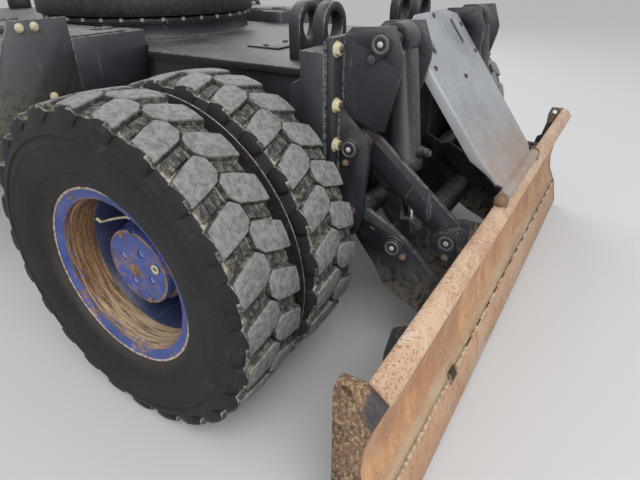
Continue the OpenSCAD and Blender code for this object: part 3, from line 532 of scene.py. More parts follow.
# Painted shadow: a dark finish for the sheets that stand in for the shade in the seam's gaps and inside the
# burnt hole
SHADOW = worn_edge("seam_gap_painted_shadow", (0.055, 0.04, 0.03), (0.02, 0.016, 0.013))
STEP = dusty_paint("step_sheet", (0.026, 0.029, 0.035), dust=0.6, rust=0.5)
CHEEK = dusty_paint("step_cheek", (0.026, 0.029, 0.035), dust=0.6, rust=0.3, soil_below=0.96,
                    soil=(0.115, 0.1, 0.066))


# CAD nodes that keep their shape: their edges are broken, and worn where an edge finish is named

KEPT = (
    (FRAME, FRAME_EDGE, "chassis_frame lashing_eyes blade_brackets bracket_cross tow_bracket"),
    (RING_STEEL, None, "slew_race_fixed slew_ring swivel_joint"),
    (AXLE, None, "rear_axle_housing travel_gearbox front_axle_beam drive_shaft steering_cylinder"),
    (AXLE, None, "knuckle_left knuckle_right"),
    (STEP, FRAME_EDGE, "toolboxes toolbox_lid_left toolbox_lid_right"),
    (CHEEK, FRAME_EDGE, "steps"),
    (CHROME, None, "steering_rod"),
    (ARM, FRAME_EDGE, "lift_arms"),
    (LINK, FRAME_EDGE, "upper_links"),
    (BOARD, None, "blade_board"),
    (BLADE_END, None, "blade_ends"),
    (EDGE_STEEL, None, "cutting_edge"),
    (BOLT_RUST, None, "guard_rod"),
    (ZINC, None, "guard"),
    (FRAME, None, "cylinder_barrels"),
    (ROD, None, "cylinder_rods"),
)
BROKEN_EDGE = 0.0025


def keep(o, finish, edge):
    finish_with(o, finish, edge or finish)
    add_modifier(o, "WELD", merge_threshold=MERGE_WITHIN)
    add_modifier(o, "DECIMATE", decimate_type="DISSOLVE", angle_limit=math.radians(1.0))
    add_modifier(o, "BEVEL", width=BROKEN_EDGE, segments=1, limit_method="ANGLE",
                 angle_limit=math.radians(40), material=1 if edge else 0)
    smooth(o, 30)


for finish, edge, names in KEPT:
    for node in names.split():
        keep(nodes[node], finish, edge)


# Modelling: chains of edges are drawn by extruding a point, then filled, spun or pushed out

def extrude(by):
    bpy.ops.mesh.extrude_region_move(TRANSFORM_OT_translate={"value": by})


def trace(name, points, closed=False):
    """Draws a chain of edges through the points; a closed one becomes a face."""
    drop_selection()
    bpy.ops.mesh.primitive_plane_add(size=0.01, location=points[0])
    o = bpy.context.object
    o.name = name
    edit(o)
    bpy.ops.mesh.merge(type="CENTER")
    for a, b in zip(points, points[1:]):
        extrude(Vector(b) - Vector(a))
    if closed:
        bpy.ops.mesh.select_all(action="SELECT")
        bpy.ops.mesh.edge_face_add()
    done()
    return settle(o)


def tidy(o):
    """Merges doubles and turns the faces outwards."""
    edit(o)
    bpy.ops.mesh.remove_doubles(threshold=MERGE_WITHIN)
    bpy.ops.mesh.normals_make_consistent(inside=False)
    done()
    return o


def turned(name, section, steps=96):
    """Spins a section of (radius, distance along Y) about Y; one that ends on the axis stays open."""
    ring = section if section[-1][0] == 0.0 else section + section[:1]
    o = trace(name, [(r, y, 0.0) for r, y in ring])
    edit(o)
    bpy.ops.mesh.spin(steps=steps, angle=2 * math.pi, center=(0, 0, 0), axis=(0, 1, 0), use_auto_merge=True)
    done()
    return tidy(o)


def plate(name, points, push, bevel=0.0015, segments=2):
    """A flat outline pushed out along a vector, with its edges broken."""
    o = trace(name, points, closed=True)
    edit(o)
    extrude(push)
    done()
    tidy(o)
    if bevel:
        break_edges(o, bevel, 35, segments)
    return o


def mirrored(half):
    """The other half of a section, in the order that goes on round it."""
    return [(a, -b) for a, b in reversed(half)]


def arc(x, y, radius, start, sweep, steps):
    """Points on a circle about (x, y), from one angle through a sweep."""
    turns = [start + sweep * k / steps for k in range(steps + 1)]
    return [(x + radius * math.cos(t), y + radius * math.sin(t)) for t in turns]


def copies_round(o, count, axis, place, first=0.5):
    """Copies of an object that is carried to a place and then turned round an axis."""
    turns = [Matrix.Rotation(2 * math.pi * (k + first) / count, 4, axis) for k in range(count)]
    return [copy_at(o, turn @ place) for turn in turns]


def cut_out(o, tool):
    modify(o, "BOOLEAN", object=tool, operation="DIFFERENCE", solver="EXACT")
    delete(tool)


def rod(name, radius, a, b, sides=24):
    """A straight round bar between two points, with chamfered ends."""
    a, b = Vector(a), Vector(b)
    drop_selection()
    bpy.ops.mesh.primitive_cylinder_add(vertices=sides, radius=radius, depth=(b - a).length,
                                        location=(a + b) / 2)
    o = bpy.context.object
    o.name = name
    o.rotation_euler = (b - a).to_track_quat("Z", "Y").to_euler()
    return break_edges(settle(o), radius * 0.12)


def drum(sides, radius, height, place):
    """A plain cylinder along Y about a place."""
    drop_selection()
    bpy.ops.mesh.primitive_cylinder_add(vertices=sides, radius=radius, depth=height, location=place,
                                        rotation=(math.pi / 2, 0, 0))
    return settle(bpy.context.object)


def hex_head(radius, height, collar=None):
    """A hexagon head standing out along +Y from the origin, with a collar under it."""
    o = break_edges(drum(6, radius, height, (0, height / 2, 0)), radius * 0.1)
    if collar:
        profile = [(0.0, 0.0), (collar, 0.0), (collar, height * 0.16), (0.0, height * 0.2)]
        o = joined("head", [o, turned("collar", profile, 20)])
    smooth(o, 30)
    return o


# Tyres: a turned carcass with two rows of lugs, their fingers on the sidewalls and tie bars between

BULGE_R = 0.4
BAND_OUT_R = 0.472
BAND_IN_R = 0.443
LUG_TOP_R = 0.525
LUG_CROWN = 0.006
FLOOR_R = 0.501
LUG_SHOULDER_Y = 0.11
LUG_SLANT = 0.34
# Rises of the sidewall over its arc: bead ring, hollow and the line under the band (radius, rise)
WALL_RISES = (
    (0.303, 0.0015), (0.309, 0.0035), (0.316, 0.001), (0.33, -0.001), (0.35, -0.001), (0.375, -0.001),
    (0.4, -0.001), (0.418, -0.001), (0.42, 0.0002), (0.424, -0.001))
# The band round the sidewall: edge it belongs to, radius from there and rise
BAND = (
    (BAND_IN_R, -0.006, -0.0025), (BAND_IN_R, -0.002, -0.003), (BAND_IN_R, 0.002, 0.0012),
    (BAND_OUT_R, -0.002, 0.001), (BAND_OUT_R, 0.001, -0.004))
# A lug seen from above (rearwards, outwards), and the pushes of its finger: outwards, down, narrowing
LUG_OUTLINE = [
    (-0.042, 0.016), (-0.018, -0.006), (0.004, -0.008), (0.027, -0.009), (0.043, 0.012), (0.042, 0.06),
    (0.038, LUG_SHOULDER_Y), (0.0, LUG_SHOULDER_Y + 0.002), (-0.038, LUG_SHOULDER_Y - 0.001), (-0.043, 0.06)]
FINGER_STEPS = [(0.0108, -0.0105, 0.9), (0.0078, -0.018, 0.88), (0.0028, -0.016, 0.84)]
# A lug is pushed down to the floor in steps: down, widening, height of the widening's centre
LUG_STEPS = ((-0.0135, (1.05, 1.0, 1.0), 0.51), (-0.0125, (1.07, 1.02, 1.0), 0.5))
# Blocks of the tie bar: their inner edges, width, span between the lugs, depth of the top and height
TIE_BARS = (0.021, 0.0475, 0.074)
TIE_BAR_W = 0.024
TIE_BAR_SPAN = (0.049, 0.084)
TIE_BAR_DEEP = 0.013
TIE_BAR_H = 0.016
# Degrees that the outer and the inner twin have rolled on, as the lugs stand in the photograph
TYRE_TURN = {1: 0.5, -1: 7.0}


def sidewall(r):
    """Half width of the tyre at a radius: two arcs that meet where it is widest."""
    rho = 0.16 if r < BULGE_R else 0.27
    return TYRE_HALF_W - rho + math.sqrt(rho * rho - (r - BULGE_R) ** 2)


def crown(y):
    return LUG_TOP_R - LUG_CROWN * (y / LUG_SHOULDER_Y) ** 2


def tread_point(s, y, depth=0.0):
    """A point of the tread: s runs rearwards round the tyre, y outwards, with the lugs' slant and crown."""
    r = crown(y) - depth
    a = math.pi / 2 - (s + LUG_SLANT * (y - LUG_SHOULDER_Y)) / LUG_TOP_R
    return Vector((-r * math.cos(a), y, r * math.sin(a)))


def carcass():
    wall = [(0.2545, 0.0825), (0.2925, 0.0825), (0.2925, 0.0945), (0.297, 0.1012)]
    wall += [(r, sidewall(r) + up) for r, up in WALL_RISES]
    wall += [(r + off, sidewall(r) + up) for r, off, up in BAND]
    wall += [(0.482, 0.119), (0.49, 0.1145), (0.4965, 0.106), (0.4995, 0.09), (FLOOR_R, 0.05)]
    return turned("carcass", wall + [(FLOOR_R, 0.0)] + mirrored(wall))


def lug():
    """One lug: its outline on the tread pushed down to the floor, its outer end drawn down the sidewall."""
    o = trace("lug", [tread_point(s, y) for s, y in LUG_OUTLINE], closed=True)
    edit(o)
    for down, wider, centre_z in LUG_STEPS:
        extrude((0, 0, down))
        bpy.ops.transform.resize(value=wider, center_override=(0.0, 0.05, centre_z))
    done()
    tidy(o)
    for dy, dz, narrow in FINGER_STEPS:
        edit(o)
        bpy.ops.mesh.select_all(action="DESELECT")
        done()
        reach = max(p.center.y for p in o.data.polygons if p.normal.y > 0.55)
        ends = [p for p in o.data.polygons if p.normal.y > 0.55 and p.center.y > reach - 0.004]
        middle = sum((p.center for p in ends), Vector()) / len(ends)
        for p in ends:
            p.select = True
        bpy.ops.object.mode_set(mode="EDIT")
        extrude((0, dy, dz))
        bpy.ops.transform.resize(value=(narrow, 1.0, 1.0), center_override=middle + Vector((0, dy, dz)))
        done()
    return break_edges(o, 0.0032, 38)


def tie_bar(y):
    """One block of the low bar between two lugs of a row."""
    s0, s1 = TIE_BAR_SPAN
    corners = ((s0, y), (s1, y), (s1, y + TIE_BAR_W), (s0, y + TIE_BAR_W))
    points = [tread_point(s, t, TIE_BAR_DEEP) for s, t in corners]
    return plate("tie_bar", points, (0, 0, -TIE_BAR_H), 0.0012, segments=1)


def tyre():
    """One tyre about its own centre, with the attribute rise for its finish."""
    row = joined("row", [lug()] + [tie_bar(y) for y in TIE_BARS])
    half_pitch = Matrix.Rotation(-math.pi / LUGS, 4, "Y")
    pair = joined("pair", [row, copy_at(row, half_pitch @ BESIDE)])
    turns = copies_round(pair, LUGS, "Y", Matrix.Identity(4), 0)
    delete(pair)
    o = joined("tyre", [carcass()] + turns)
    rise = o.data.attributes.new("rise", "FLOAT", "POINT")
    for v, slot in zip(o.data.vertices, rise.data):
        r, y = math.hypot(v.co.x, v.co.z), abs(v.co.y)
        on_tread = y < LUG_SHOULDER_Y + 0.0035 and r > 0.494
        share = (r - FLOOR_R + 0.003) / (crown(y) - FLOOR_R)
        slot.value = min(1.0, max(0.0, share)) if on_tread else -0.5
    smooth(o, 35)
    return o


def tyres():
    model = tyre()
    for wheel, (x, side) in WHEELS.items():
        pair = []
        for twin in (1, -1):
            turn = Matrix.Rotation(math.radians(TYRE_TURN[twin]), 4, "Y") @ across(side)
            pair.append(put(model, (x, side * (PAIR_Y + twin * TWIN / 2), AXLE_Z), turn))
        o = joined("tyre_pair_" + wheel, pair)
        finish_with(o, RUBBER)
        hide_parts("tyres_" + wheel)
        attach(o, "wheel_" + wheel)
    delete(model)


# Steel hoop between the tyres of a pair: a foot against the sidewalls and a thin rim that shows

HOOP_HALF = [(0.419, 0.0203), (0.43, 0.0208), (0.445, 0.018), (0.462, 0.008), (0.47, 0.005),
             (0.497, 0.003), (0.4985, 0.0014)]


def hoops():
    model = turned("hoop", HOOP_HALF + mirrored(HOOP_HALF))
    finish_with(model, HOOP_STEEL, HOOP_EDGE)
    faces_take(model, 1, lambda r, y: r > 0.498)
    for wheel, (x, side) in WHEELS.items():
        o = put(model, (x, side * PAIR_Y, AXLE_Z), name="hoop_" + wheel)
        smooth(o)
        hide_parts("stone_ring_" + wheel)
        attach(o, "wheel_" + wheel)
    delete(model)


# Rims: base with rolled flange, bead cone and gutter, and the dished discs

BORE_R = 0.245
DISC_Y = 0.138
STUDS = 10
STUD_CIRCLE_R = 0.168
DISC_T = 0.014
# Within the barrel's radius and half-width the rim is rusty; beyond the lip's it has the lip's finish
BARREL_R = 0.2475
BARREL_HALF = 0.064
LIP_R = 0.2838
LIP_HALF = 0.0828
# Half of the rim's section (radius, distance from the tyre's middle): base, flange, cone, gutter and barrel
RIM_SIDE = [
    (0.2538, 0.0826), (0.2917, 0.0826), (0.2916, 0.0915), (0.2908, 0.0938), (0.289, 0.0948),
    (0.2862, 0.0948), (0.2838, 0.093), (0.28, 0.0905), (0.269, 0.0869), (0.26, 0.084),
    (0.2525, 0.081), (0.2505, 0.069), (0.249, 0.0665), (0.2462, 0.065), (0.245, 0.06)]
DISC_SECTION = [
    (0.1405, 0.0), (0.1405, DISC_T), (0.199, DISC_T), (0.206, 0.02), (0.2395, DISC_Y - 0.004),
    (BORE_R, DISC_Y + 0.004), (BORE_R, DISC_Y - 0.01), (0.214, 0.008), (0.209, 0.0)]
# The valve's bends from the outer rim's barrel across the disc, seen from the tyre's centre
VALVE_PATH = [
    (-0.093, 0.07, 0.224), (-0.07, 0.062, 0.214), (0.012, 0.047, 0.18), (0.1, 0.03, 0.139),
    (0.116, 0.027, 0.131), (0.124, 0.029, 0.137)]


def rim():
    """One rim about the tyre's centre; the outer side is at +Y."""
    o = turned("rim", RIM_SIDE + [(0.244, 0.0)] + mirrored(RIM_SIDE))
    finish_with(o, RIM, RIM_RUST, RIM_LIP)
    faces_take(o, 1, lambda r, y: r < BARREL_R and abs(y) < BARREL_HALF)
    faces_take(o, 2, lambda r, y: r > LIP_R and abs(y) > LIP_HALF)
    return o


def disc():
    """The outer wheel disc, bolted on the pilot's flange, with its studs and nuts; disc and nuts are in a
    darkened rim blue, as painted shade.
    """
    parts = [finish_with(turned("disc", DISC_SECTION, 72), RIM_PAINTED_SHADE)]
    nut = finish_with(hex_head(0.017, 0.018, collar=0.022), RIM_PAINTED_SHADE)
    stud = finish_with(rod("stud", 0.009, (0, DISC_T, 0), (0, 0.052, 0), 12), BOLT_RUST)
    for model, y in ((nut, DISC_T), (stud, 0)):
        parts += copies_round(model, STUDS, "Y", Matrix.Translation((STUD_CIRCLE_R, y, 0)))
    delete(nut, stud)
    return joined("disc", parts)


def valve():
    """The bent valve stem with its cap and its foot."""
    parts = [rod("valve", 0.0034, a, b, 10) for a, b in zip(VALVE_PATH, VALVE_PATH[1:])]
    cap_end = Vector(VALVE_PATH[-1]) + Vector((0.006, 0.002, 0.005))
    parts.append(rod("valve_cap", 0.0052, VALVE_PATH[-2], cap_end, 10))
    parts.append(rod("valve_foot", 0.0075, (-0.098, 0.073, 0.2265), (-0.086, 0.068, 0.2215), 12))
    return finish_with(joined("valve", parts), VALVE)


def rims():
    models = rim(), disc(), valve()
    outer, plate_out, stem = models
    up = Matrix.Translation((0, TWIN / 2, 0))
    for wheel, (x, side) in WHEELS.items():
        place = Matrix.Translation((x, side * PAIR_Y, AXLE_Z)) @ across(side)
        inward = place @ BESIDE
        parts = [copy_at(outer, place @ up), copy_at(outer, inward @ up), copy_at(plate_out, place),
                 copy_at(plate_out, inward), copy_at(stem, place @ up)]
        o = joined("rim_pair_" + wheel, parts)
        smooth(o)
        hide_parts("rims_" + wheel)
        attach(o, "wheel_" + wheel)
    delete(*models)


# Hubs: planetary housing and cover with four recessed screws, a plug and its rim bolts

COVER_Y = 1.142
COVER_R = 0.128
SCREW_R = 0.0122
SCREW_TURN = 26
SCREW_CIRCLE_R = 0.063
RECESS_R = 0.0135
RECESS_DEPTH = 0.016
HUB_PLUG = (-0.088, 0.026)
HUB_BOLTS = [(-0.034, -0.107), (0.04, 0.104)]
# The housing's section is (radius, distance from the centre plane), the cover's (radius, depth)
HOUSING = [
    (0.0625, 0.792), (0.118, 0.792), (0.15, 0.822), (0.15, 0.92), (0.1955, 0.926), (0.1955, 0.9495),
    (0.1395, 0.9498)]
COVER = [
    (0.1395, 0.062), (0.1365, 0.05), (COVER_R + 0.002, 0.042), (COVER_R, 0.04), (COVER_R, 0.026),
    (COVER_R - 0.0012, 0.025), (COVER_R, 0.024), (COVER_R, 0.009), (COVER_R - 0.003, 0.003),
    (COVER_R - 0.01, 0.0), (0.098, 0.0), (0.0965, 0.001), (0.04, 0.001), (0.036, 0.0), (0.0, 0.0)]
PLUG = [(0.016, 0.0), (0.016, 0.003), (0.0145, 0.006), (0.0095, 0.006), (0.0085, 0.0015), (0.0, 0.0015)]
SOCKET_SCREW = [
    (SCREW_R, 0.0), (SCREW_R, 0.0095), (SCREW_R - 0.0012, 0.011), (SCREW_R * 0.55, 0.011),
    (SCREW_R * 0.5, 0.005), (0.0, 0.005)]


def hub():
    """One hub about the wheel's axis; Y is the distance from the centre plane."""
    section = HOUSING + [(r, COVER_Y - deep) for r, deep in COVER] + [(0.0, 0.935), (0.0625, 0.935)]
    body = finish_with(turned("hub", section, 72), HUB)
    parts = [body]
    # The screws take the pale hub blue: painted light in the recesses
    screw = finish_with(turned("screw", SOCKET_SCREW, 18), HUB_SCREW_PAINTED_LIGHT)
    for k in range(4):
        a = math.radians(SCREW_TURN + 90 * k)
        x, z = SCREW_CIRCLE_R * math.cos(a), SCREW_CIRCLE_R * math.sin(a)
        cut_out(body, drum(24, RECESS_R, 2 * RECESS_DEPTH, (x, COVER_Y, z)))
        parts.append(put(screw, (x, COVER_Y - RECESS_DEPTH, z)))
    drop_selection()
    bpy.ops.mesh.primitive_cube_add(size=0.012, location=(0.0, COVER_Y, COVER_R), scale=(1.3, 2.0, 1.0))
    cut_out(body, settle(bpy.context.object))
    plug = finish_with(turned("plug", PLUG, 24), NUT_ZINC, BOLT_DARK)
    faces_take(plug, 1, lambda r, y: r < 0.008 or r > 0.0155)
    parts.append(put(plug, (HUB_PLUG[0], COVER_Y, HUB_PLUG[1])))
    head = finish_with(hex_head(0.0085, 0.007, collar=0.0105), BOLT_RUST)
    parts += [put(head, (x, COVER_Y, z)) for x, z in HUB_BOLTS]
    delete(plug, head, screw)
    return joined("hub", parts)


def hubs():
    model = hub()
    for wheel, (x, side) in WHEELS.items():
        o = put(model, (x, 0, AXLE_Z), across(side), "hub_" + wheel + "_dressed")
        smooth(o)
        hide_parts("hub_" + wheel)
        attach(o, "wheel_" + wheel)
    delete(model)


# Blade gear: lock plates with their bolts over the pins' ends, nuts on the flanges and the welds between

LOCK_T = 0.007
WASHER_TOP = 0.0092
EAR_U = 0.762
FLANGE_U = 0.375
FLANGE_NUT_Y = 0.5905
FLANGE_NUT_Z = (1.118, 0.954, 0.827, 0.7, 0.575)
# Each bracket pin: behind the axle, height, face it stands on, its bolt's place from it and the bolt's finish
BRACKET_PINS = (
    (0.5, 1.135, 0.547, (0.029, -0.044), BOLT_DARK),
    (0.42, 0.815, 0.572, (0.01, -0.047), BOLT_RUST),
    (0.42, 0.55, 0.572, (-0.018, 0.044), BOLT_RUST))
# Each weld of a bracket: behind the axle, its two heights, distance from the middle, radius and waves
BRACKET_WELDS = (
    (0.377, 0.956, 1.145, 0.5485, 0.0055, 24),
    (0.377, 0.505, 0.94, 0.5735, 0.0055, 52),
    (0.377, 0.925, 1.145, 0.5255, 0.005, 26),
    (0.3495, 0.56, 1.14, 0.611, 0.005, 60))
ROD_EYE = (0.588, 0.485)
BOSS_RING = [(0.033, 0.0), (0.0415, 0.0), (0.0405, 0.0045), (0.0345, 0.0055), (0.033, 0.0045)]
ARM_PIN_Y = 0.5498
ARM_FACE_Y = 0.5468
ARM_MARK_Y = 0.5475
LINK_FACE_Y = 0.4915
LINK_STRIP = ((0.47, 0.828), (0.617, 0.706), (0.592, 0.652), (0.448, 0.768))


def at(u, z, y=0.0):
    """A point from its distance behind the rear axle, its height and its distance from the middle."""
    return Vector((REAR_X - u, y, z))


def lock_plate(bolt, r_pin, r_bolt):
    """A plate round a pin's end with a lobe round its bolt, which stands at (x, z) from the pin."""
    away = math.atan2(bolt[1], bolt[0])
    open_by = math.acos((r_pin - r_bolt) / math.hypot(*bolt))
    edge = arc(0, 0, r_pin, away + open_by, 2 * (math.pi - open_by), 14)
    edge += arc(*bolt, r_bolt, away - open_by, 2 * open_by, 6)
    return plate("lock_plate", [(x, 0.0, z) for x, z in edge], (0, LOCK_T, 0), bevel=0.0016)


def locked_pin(bolt, bolt_finish, place, r_pin=0.034, r_bolt=0.016, rise=0.0105, flat=1.0):
    """A pin's end that faces +Y: lock plate, pin's rim, grease nipple, washer and bolt."""
    flag = finish_with(lock_plate(bolt, r_pin, r_bolt), ARM, FRAME_EDGE)
    rim_ring = turned("pin_rim", [
        (0.0275, 0.0), (0.0275, rise), (0.0255, rise + 0.0022), (0.0205, rise + 0.0022),
        (0.0185, rise + 0.0006), (0.0, rise + 0.0006)], 32)
    finish_with(rim_ring, ARM, PIN_EDGE)
    faces_take(rim_ring, 1, lambda r, y: 0.0188 < r < 0.0272 and y > rise + 0.0008)
    nipple = turned("nipple", [
        (0.009, rise), (0.009, rise + 0.003), (0.0075, rise + 0.005), (0.0045, rise + 0.0062),
        (0.0028, rise + 0.0066), (0.0028, rise + 0.009), (0.0, rise + 0.0098)], 20)
    finish_with(nipple, NIPPLE)
    washer = turned("washer", [
        (0.0, LOCK_T), (0.0125, LOCK_T), (0.013, LOCK_T + 0.0008), (0.0125, WASHER_TOP),
        (0.0, WASHER_TOP)], 20)
    finish_with(washer, PIN_EDGE)
    moved(washer, Matrix.Translation((bolt[0], 0, bolt[1])))
    head = finish_with(hex_head(0.0098, 0.008), bolt_finish)
    moved(head, Matrix.Translation((bolt[0], WASHER_TOP, bolt[1])))
    o = joined("locked_pin", [flag, rim_ring, nipple, washer, head])
    smooth(o)
    return moved(o, Matrix.Translation(place) @ Matrix.Scale(flat, 4, (0, 1, 0)))


def bead(a, b, radius, waves, finish):
    """A weld bead between two points: a wavy chain spun round its line and laid along it."""
    a, b = Vector(a), Vector(b)
    length = (b - a).length
    chain = [(0.0, 0.0)]
    for k in range(4 * waves + 1):
        wave = 1.0 + 0.13 * math.cos(math.pi * k / 2)
        chain.append((radius * wave, 0.002 + (length - 0.004) * k / (4 * waves)))
    chain.append((0.0, length))
    o = finish_with(turned("bead", chain, steps=8), finish)
    turn = (b - a).to_track_quat("Y", "Z").to_matrix().to_4x4()
    return moved(o, Matrix.Translation(a) @ turn)


def both_sides(name, objects):
    """The objects and their mirror images on the right, as one."""
    o = joined(name, objects)
    return joined(name, [o, copy_at(o, BESIDE)])


def bracket_hardware():
    parts = [locked_pin(bolt, finish, at(u, z, y)) for u, z, y, bolt, finish in BRACKET_PINS]
    # Flange nuts down the outer edge, in their thick yellow coat
    nut = finish_with(hex_head(0.019, 0.016, collar=0.0235), NUT_ZINC)
    stud = finish_with(rod("stud", 0.01, (0, 0.01, 0), (0, 0.024, 0), 14), BOLT_DARK)
    for z in FLANGE_NUT_Z:
        parts += [put(model, at(FLANGE_U, z, FLANGE_NUT_Y), BACKWARD) for model in (nut, stud)]
    delete(nut, stud)
    # Welds where the plates stand on the flange, and the flange on the frame
    for u, low, high, y, radius, waves in BRACKET_WELDS:
        weld = bead(at(u, low, y), at(u, high, y), radius, waves, WELD)
        smooth(weld, 60)
        parts.append(weld)
    o = both_sides("bracket_hardware", parts)
    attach(o, "chassis")


def arm_hardware():
    eye = locked_pin((-0.043, -0.021), BOLT_RUST, at(*ROD_EYE, ARM_PIN_Y), 0.0335, 0.0165, 0.0085)
    ring = finish_with(turned("boss_ring", BOSS_RING, 40), ARM)
    moved(ring, Matrix.Translation(at(*ROD_EYE, ARM_FACE_Y)))
    mark = bead(at(0.495, 0.54, ARM_MARK_Y), at(0.515, 0.532, ARM_MARK_Y), 0.0028, 4, WELD)
    o = both_sides("arm_hardware", [eye, ring, mark])
    smooth(o)
    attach(o, "arms")


def link_hardware():
    # A cover strip is welded on the link's outer face; its step and seam show halfway down
    corners = [at(u, z, LINK_FACE_Y) for u, z in LINK_STRIP]
    strip = finish_with(plate("strip", corners, (0, 0.004, 0), bevel=0.0012), ARM, FRAME_EDGE)
    weld_y = LINK_FACE_Y + 0.001
    seam = bead(at(0.62, 0.702, weld_y), at(0.594, 0.65, weld_y), 0.003, 10, WELD)
    mark = bead(at(0.646, 0.668, weld_y), at(0.662, 0.658, weld_y), 0.0026, 4, WELD)
    o = both_sides("link_hardware", [strip, seam, mark])
    smooth(o)
    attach(o, "links")


# Where the port stands on the barrel, and the sections of port and banjo from the barrel's axis
PORT_PLACE = at(0.5467, 0.79, 0.41)
PORT_FACE = 0.064
BANJO_TOP = 0.082
PORT = [(0.0, 0.04), (0.021, 0.04), (0.021, 0.062), (0.019, PORT_FACE), (0.0, PORT_FACE)]
BANJO = [
    (0.0, PORT_FACE), (0.015, PORT_FACE), (0.0165, 0.068), (0.0165, 0.078), (0.015, BANJO_TOP),
    (0.0, BANJO_TOP)]


def barrel_hardware():
    """The port on each lift cylinder, with its banjo bolt."""
    port = turned("port", PORT, 24)
    banjo = turned("banjo", BANJO, 20)
    head = moved(hex_head(0.0115, 0.009), Matrix.Translation((0, BANJO_TOP, 0)))
    for o, finish in ((port, FRAME), (banjo, FRAME), (head, BOLT_DARK)):
        finish_with(o, finish)
        moved(o, Matrix.Translation(PORT_PLACE) @ BACKWARD)
    o = both_sides("barrel_ports", [port, banjo, head])
    smooth(o)
    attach(o, "barrels")


# Blade: pins at the ears, the seam over the cutting edge with painted shadow in its gaps, and a hole that was
# burnt out of it, drawn as a dark sheet of painted shade

BLADE_HALF = 1.245
SEAM_U = 0.8915
SEAM_Z = 0.1655
STITCHES = 14
STITCH_START = -1.19
STITCH_PITCH = 0.123
STITCH_LEN = 0.072
GAP_SECTION = ((0.8885, 0.1685), (0.8925, 0.166), (0.8885, 0.161))
HOLE_SECTION = ((0.8865, 0.183), (0.9015, 0.144), (0.896, 0.142), (0.883, 0.18))
HOLE_Y = 0.664
HOLE_W = 0.046
HOLE_LIPS = (0.66, 0.714)
# The lowered arms' outer plates pass over the ears' pins, which lie flat in the gap there
EAR_PIN_FLAT = 0.25


def blade_hardware():
    ear = locked_pin((-0.003, -0.053), BOLT_RUST, at(EAR_U, 0.54, 0.5222),
                     r_pin=0.036, r_bolt=0.0165, rise=0.009, flat=EAR_PIN_FLAT)
    low = locked_pin((0.03, -0.038), BOLT_RUST, at(EAR_U, 0.275, 0.5722), rise=0.0085)
    pins = both_sides("pins", [ear, low])
    # Stitches on the far half, a short bead and one long one on the near quarter
    stitches = [STITCH_START + k * STITCH_PITCH for k in range(STITCHES)]
    runs = [(y, y + STITCH_LEN, 0.0062, 8) for y in stitches]
    runs += [(0.54, 0.655, 0.0058, 13), (0.722, BLADE_HALF - 0.004, 0.0058, 56)]
    seam = []
    for y0, y1, radius, waves in runs:
        seam.append(bead(at(SEAM_U, SEAM_Z, y0), at(SEAM_U, SEAM_Z, y1), radius, waves, SEAM))
    # The gap is a dark sheet along the seam, painted shadow that shows between the stitches; the hole is a
    # dark sheet of painted shade for the hole's inside
    start = -BLADE_HALF + 0.002
    gap = plate("gap", [at(u, z, start) for u, z in GAP_SECTION], (0, -2 * start, 0), bevel=0)
    hole = plate("hole", [at(u, z, HOLE_Y) for u, z in HOLE_SECTION], (0, HOLE_W, 0), bevel=0.0012)
    for o in (gap, hole):
        finish_with(o, SHADOW)
    lips = [bead(at(0.887, 0.183, y), at(0.902, 0.1445, y), 0.0042, 6, BOLT_RUST) for y in HOLE_LIPS]
    o = joined("blade_hardware", [pins, gap, hole] + seam + lips)
    smooth(o, 40)
    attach(o, "blade")


# Guard: one folded plate with slots, bolts and a rolled foot round the hinge rod

GUARD_T = 0.008
GUARD_LEN = 0.7
GUARD_START = 0.012
GUARD_HALF = 0.262
# The plate leans from its foot to its top, each (behind the rear axle, height)
GUARD_FOOT = (0.865, 0.628)
GUARD_TOP = (0.43, 1.186)
GUARD_HINGE = at(*GUARD_FOOT)
GUARD_ANGLE = math.atan2(GUARD_TOP[1] - GUARD_FOOT[1], GUARD_FOOT[0] - GUARD_TOP[0])
FOLD_R = 0.016
FOLD_TURN = 68
FOLD_DEEP = 0.026
SLOT_FROM = 0.561
SLOT_TO = 0.64
SLOT_Y = 0.157
SLOT_R = 0.018
TUBE_R = 0.021
HINGE_END_Y = 0.283
# The corners cut from the sheet at its top and its foot: distance from the hinge and from the middle
TOP_CUT = [
    (GUARD_LEN - 0.03, 0.3), (GUARD_LEN - 0.03, 0.258), (GUARD_LEN - 0.006, 0.168), (GUARD_LEN, 0.155),
    (GUARD_LEN + 0.02, 0.155), (GUARD_LEN + 0.02, 0.3)]
FOOT_CUT = [
    (0.0, 0.212), (0.016, 0.217), (0.03, 0.229), (0.042, 0.2445), (0.052, 0.26), (0.095, 0.2655),
    (0.15, 0.2725), (0.24, 0.286), (0.24, 0.3), (0.0, 0.3)]
GUARD_BOLTS = ((0.683, 0.0), (0.624, 0.232), (0.624, -0.232), (0.502, 0.232), (0.502, -0.232), (0.43, 0.01))


def guard_section():
    """The plate's section across (y, height over its middle plane), with a fold at each side."""
    a = math.radians(90 - FOLD_TURN)
    faces = []
    for radius in (FOLD_R, FOLD_R - GUARD_T):
        face = arc(GUARD_HALF - 0.004, GUARD_T / 2 - FOLD_R, radius, math.pi / 2, a - math.pi / 2, 5)
        y, z = face[-1]
        face.append((y + math.sin(a) * FOLD_DEEP, z - math.cos(a) * FOLD_DEEP))
        faces.append(face)
    outer, inner = faces
    half = outer + inner[::-1]
    return half + [(-y, z) for y, z in reversed(half)]


def prism(corners, low, high):
    """An upright cutting block over an outline of (s, y) in the guard's own frame."""
    return plate("tool", [(s, y, low) for s, y in corners], (0, 0, high - low), bevel=0)


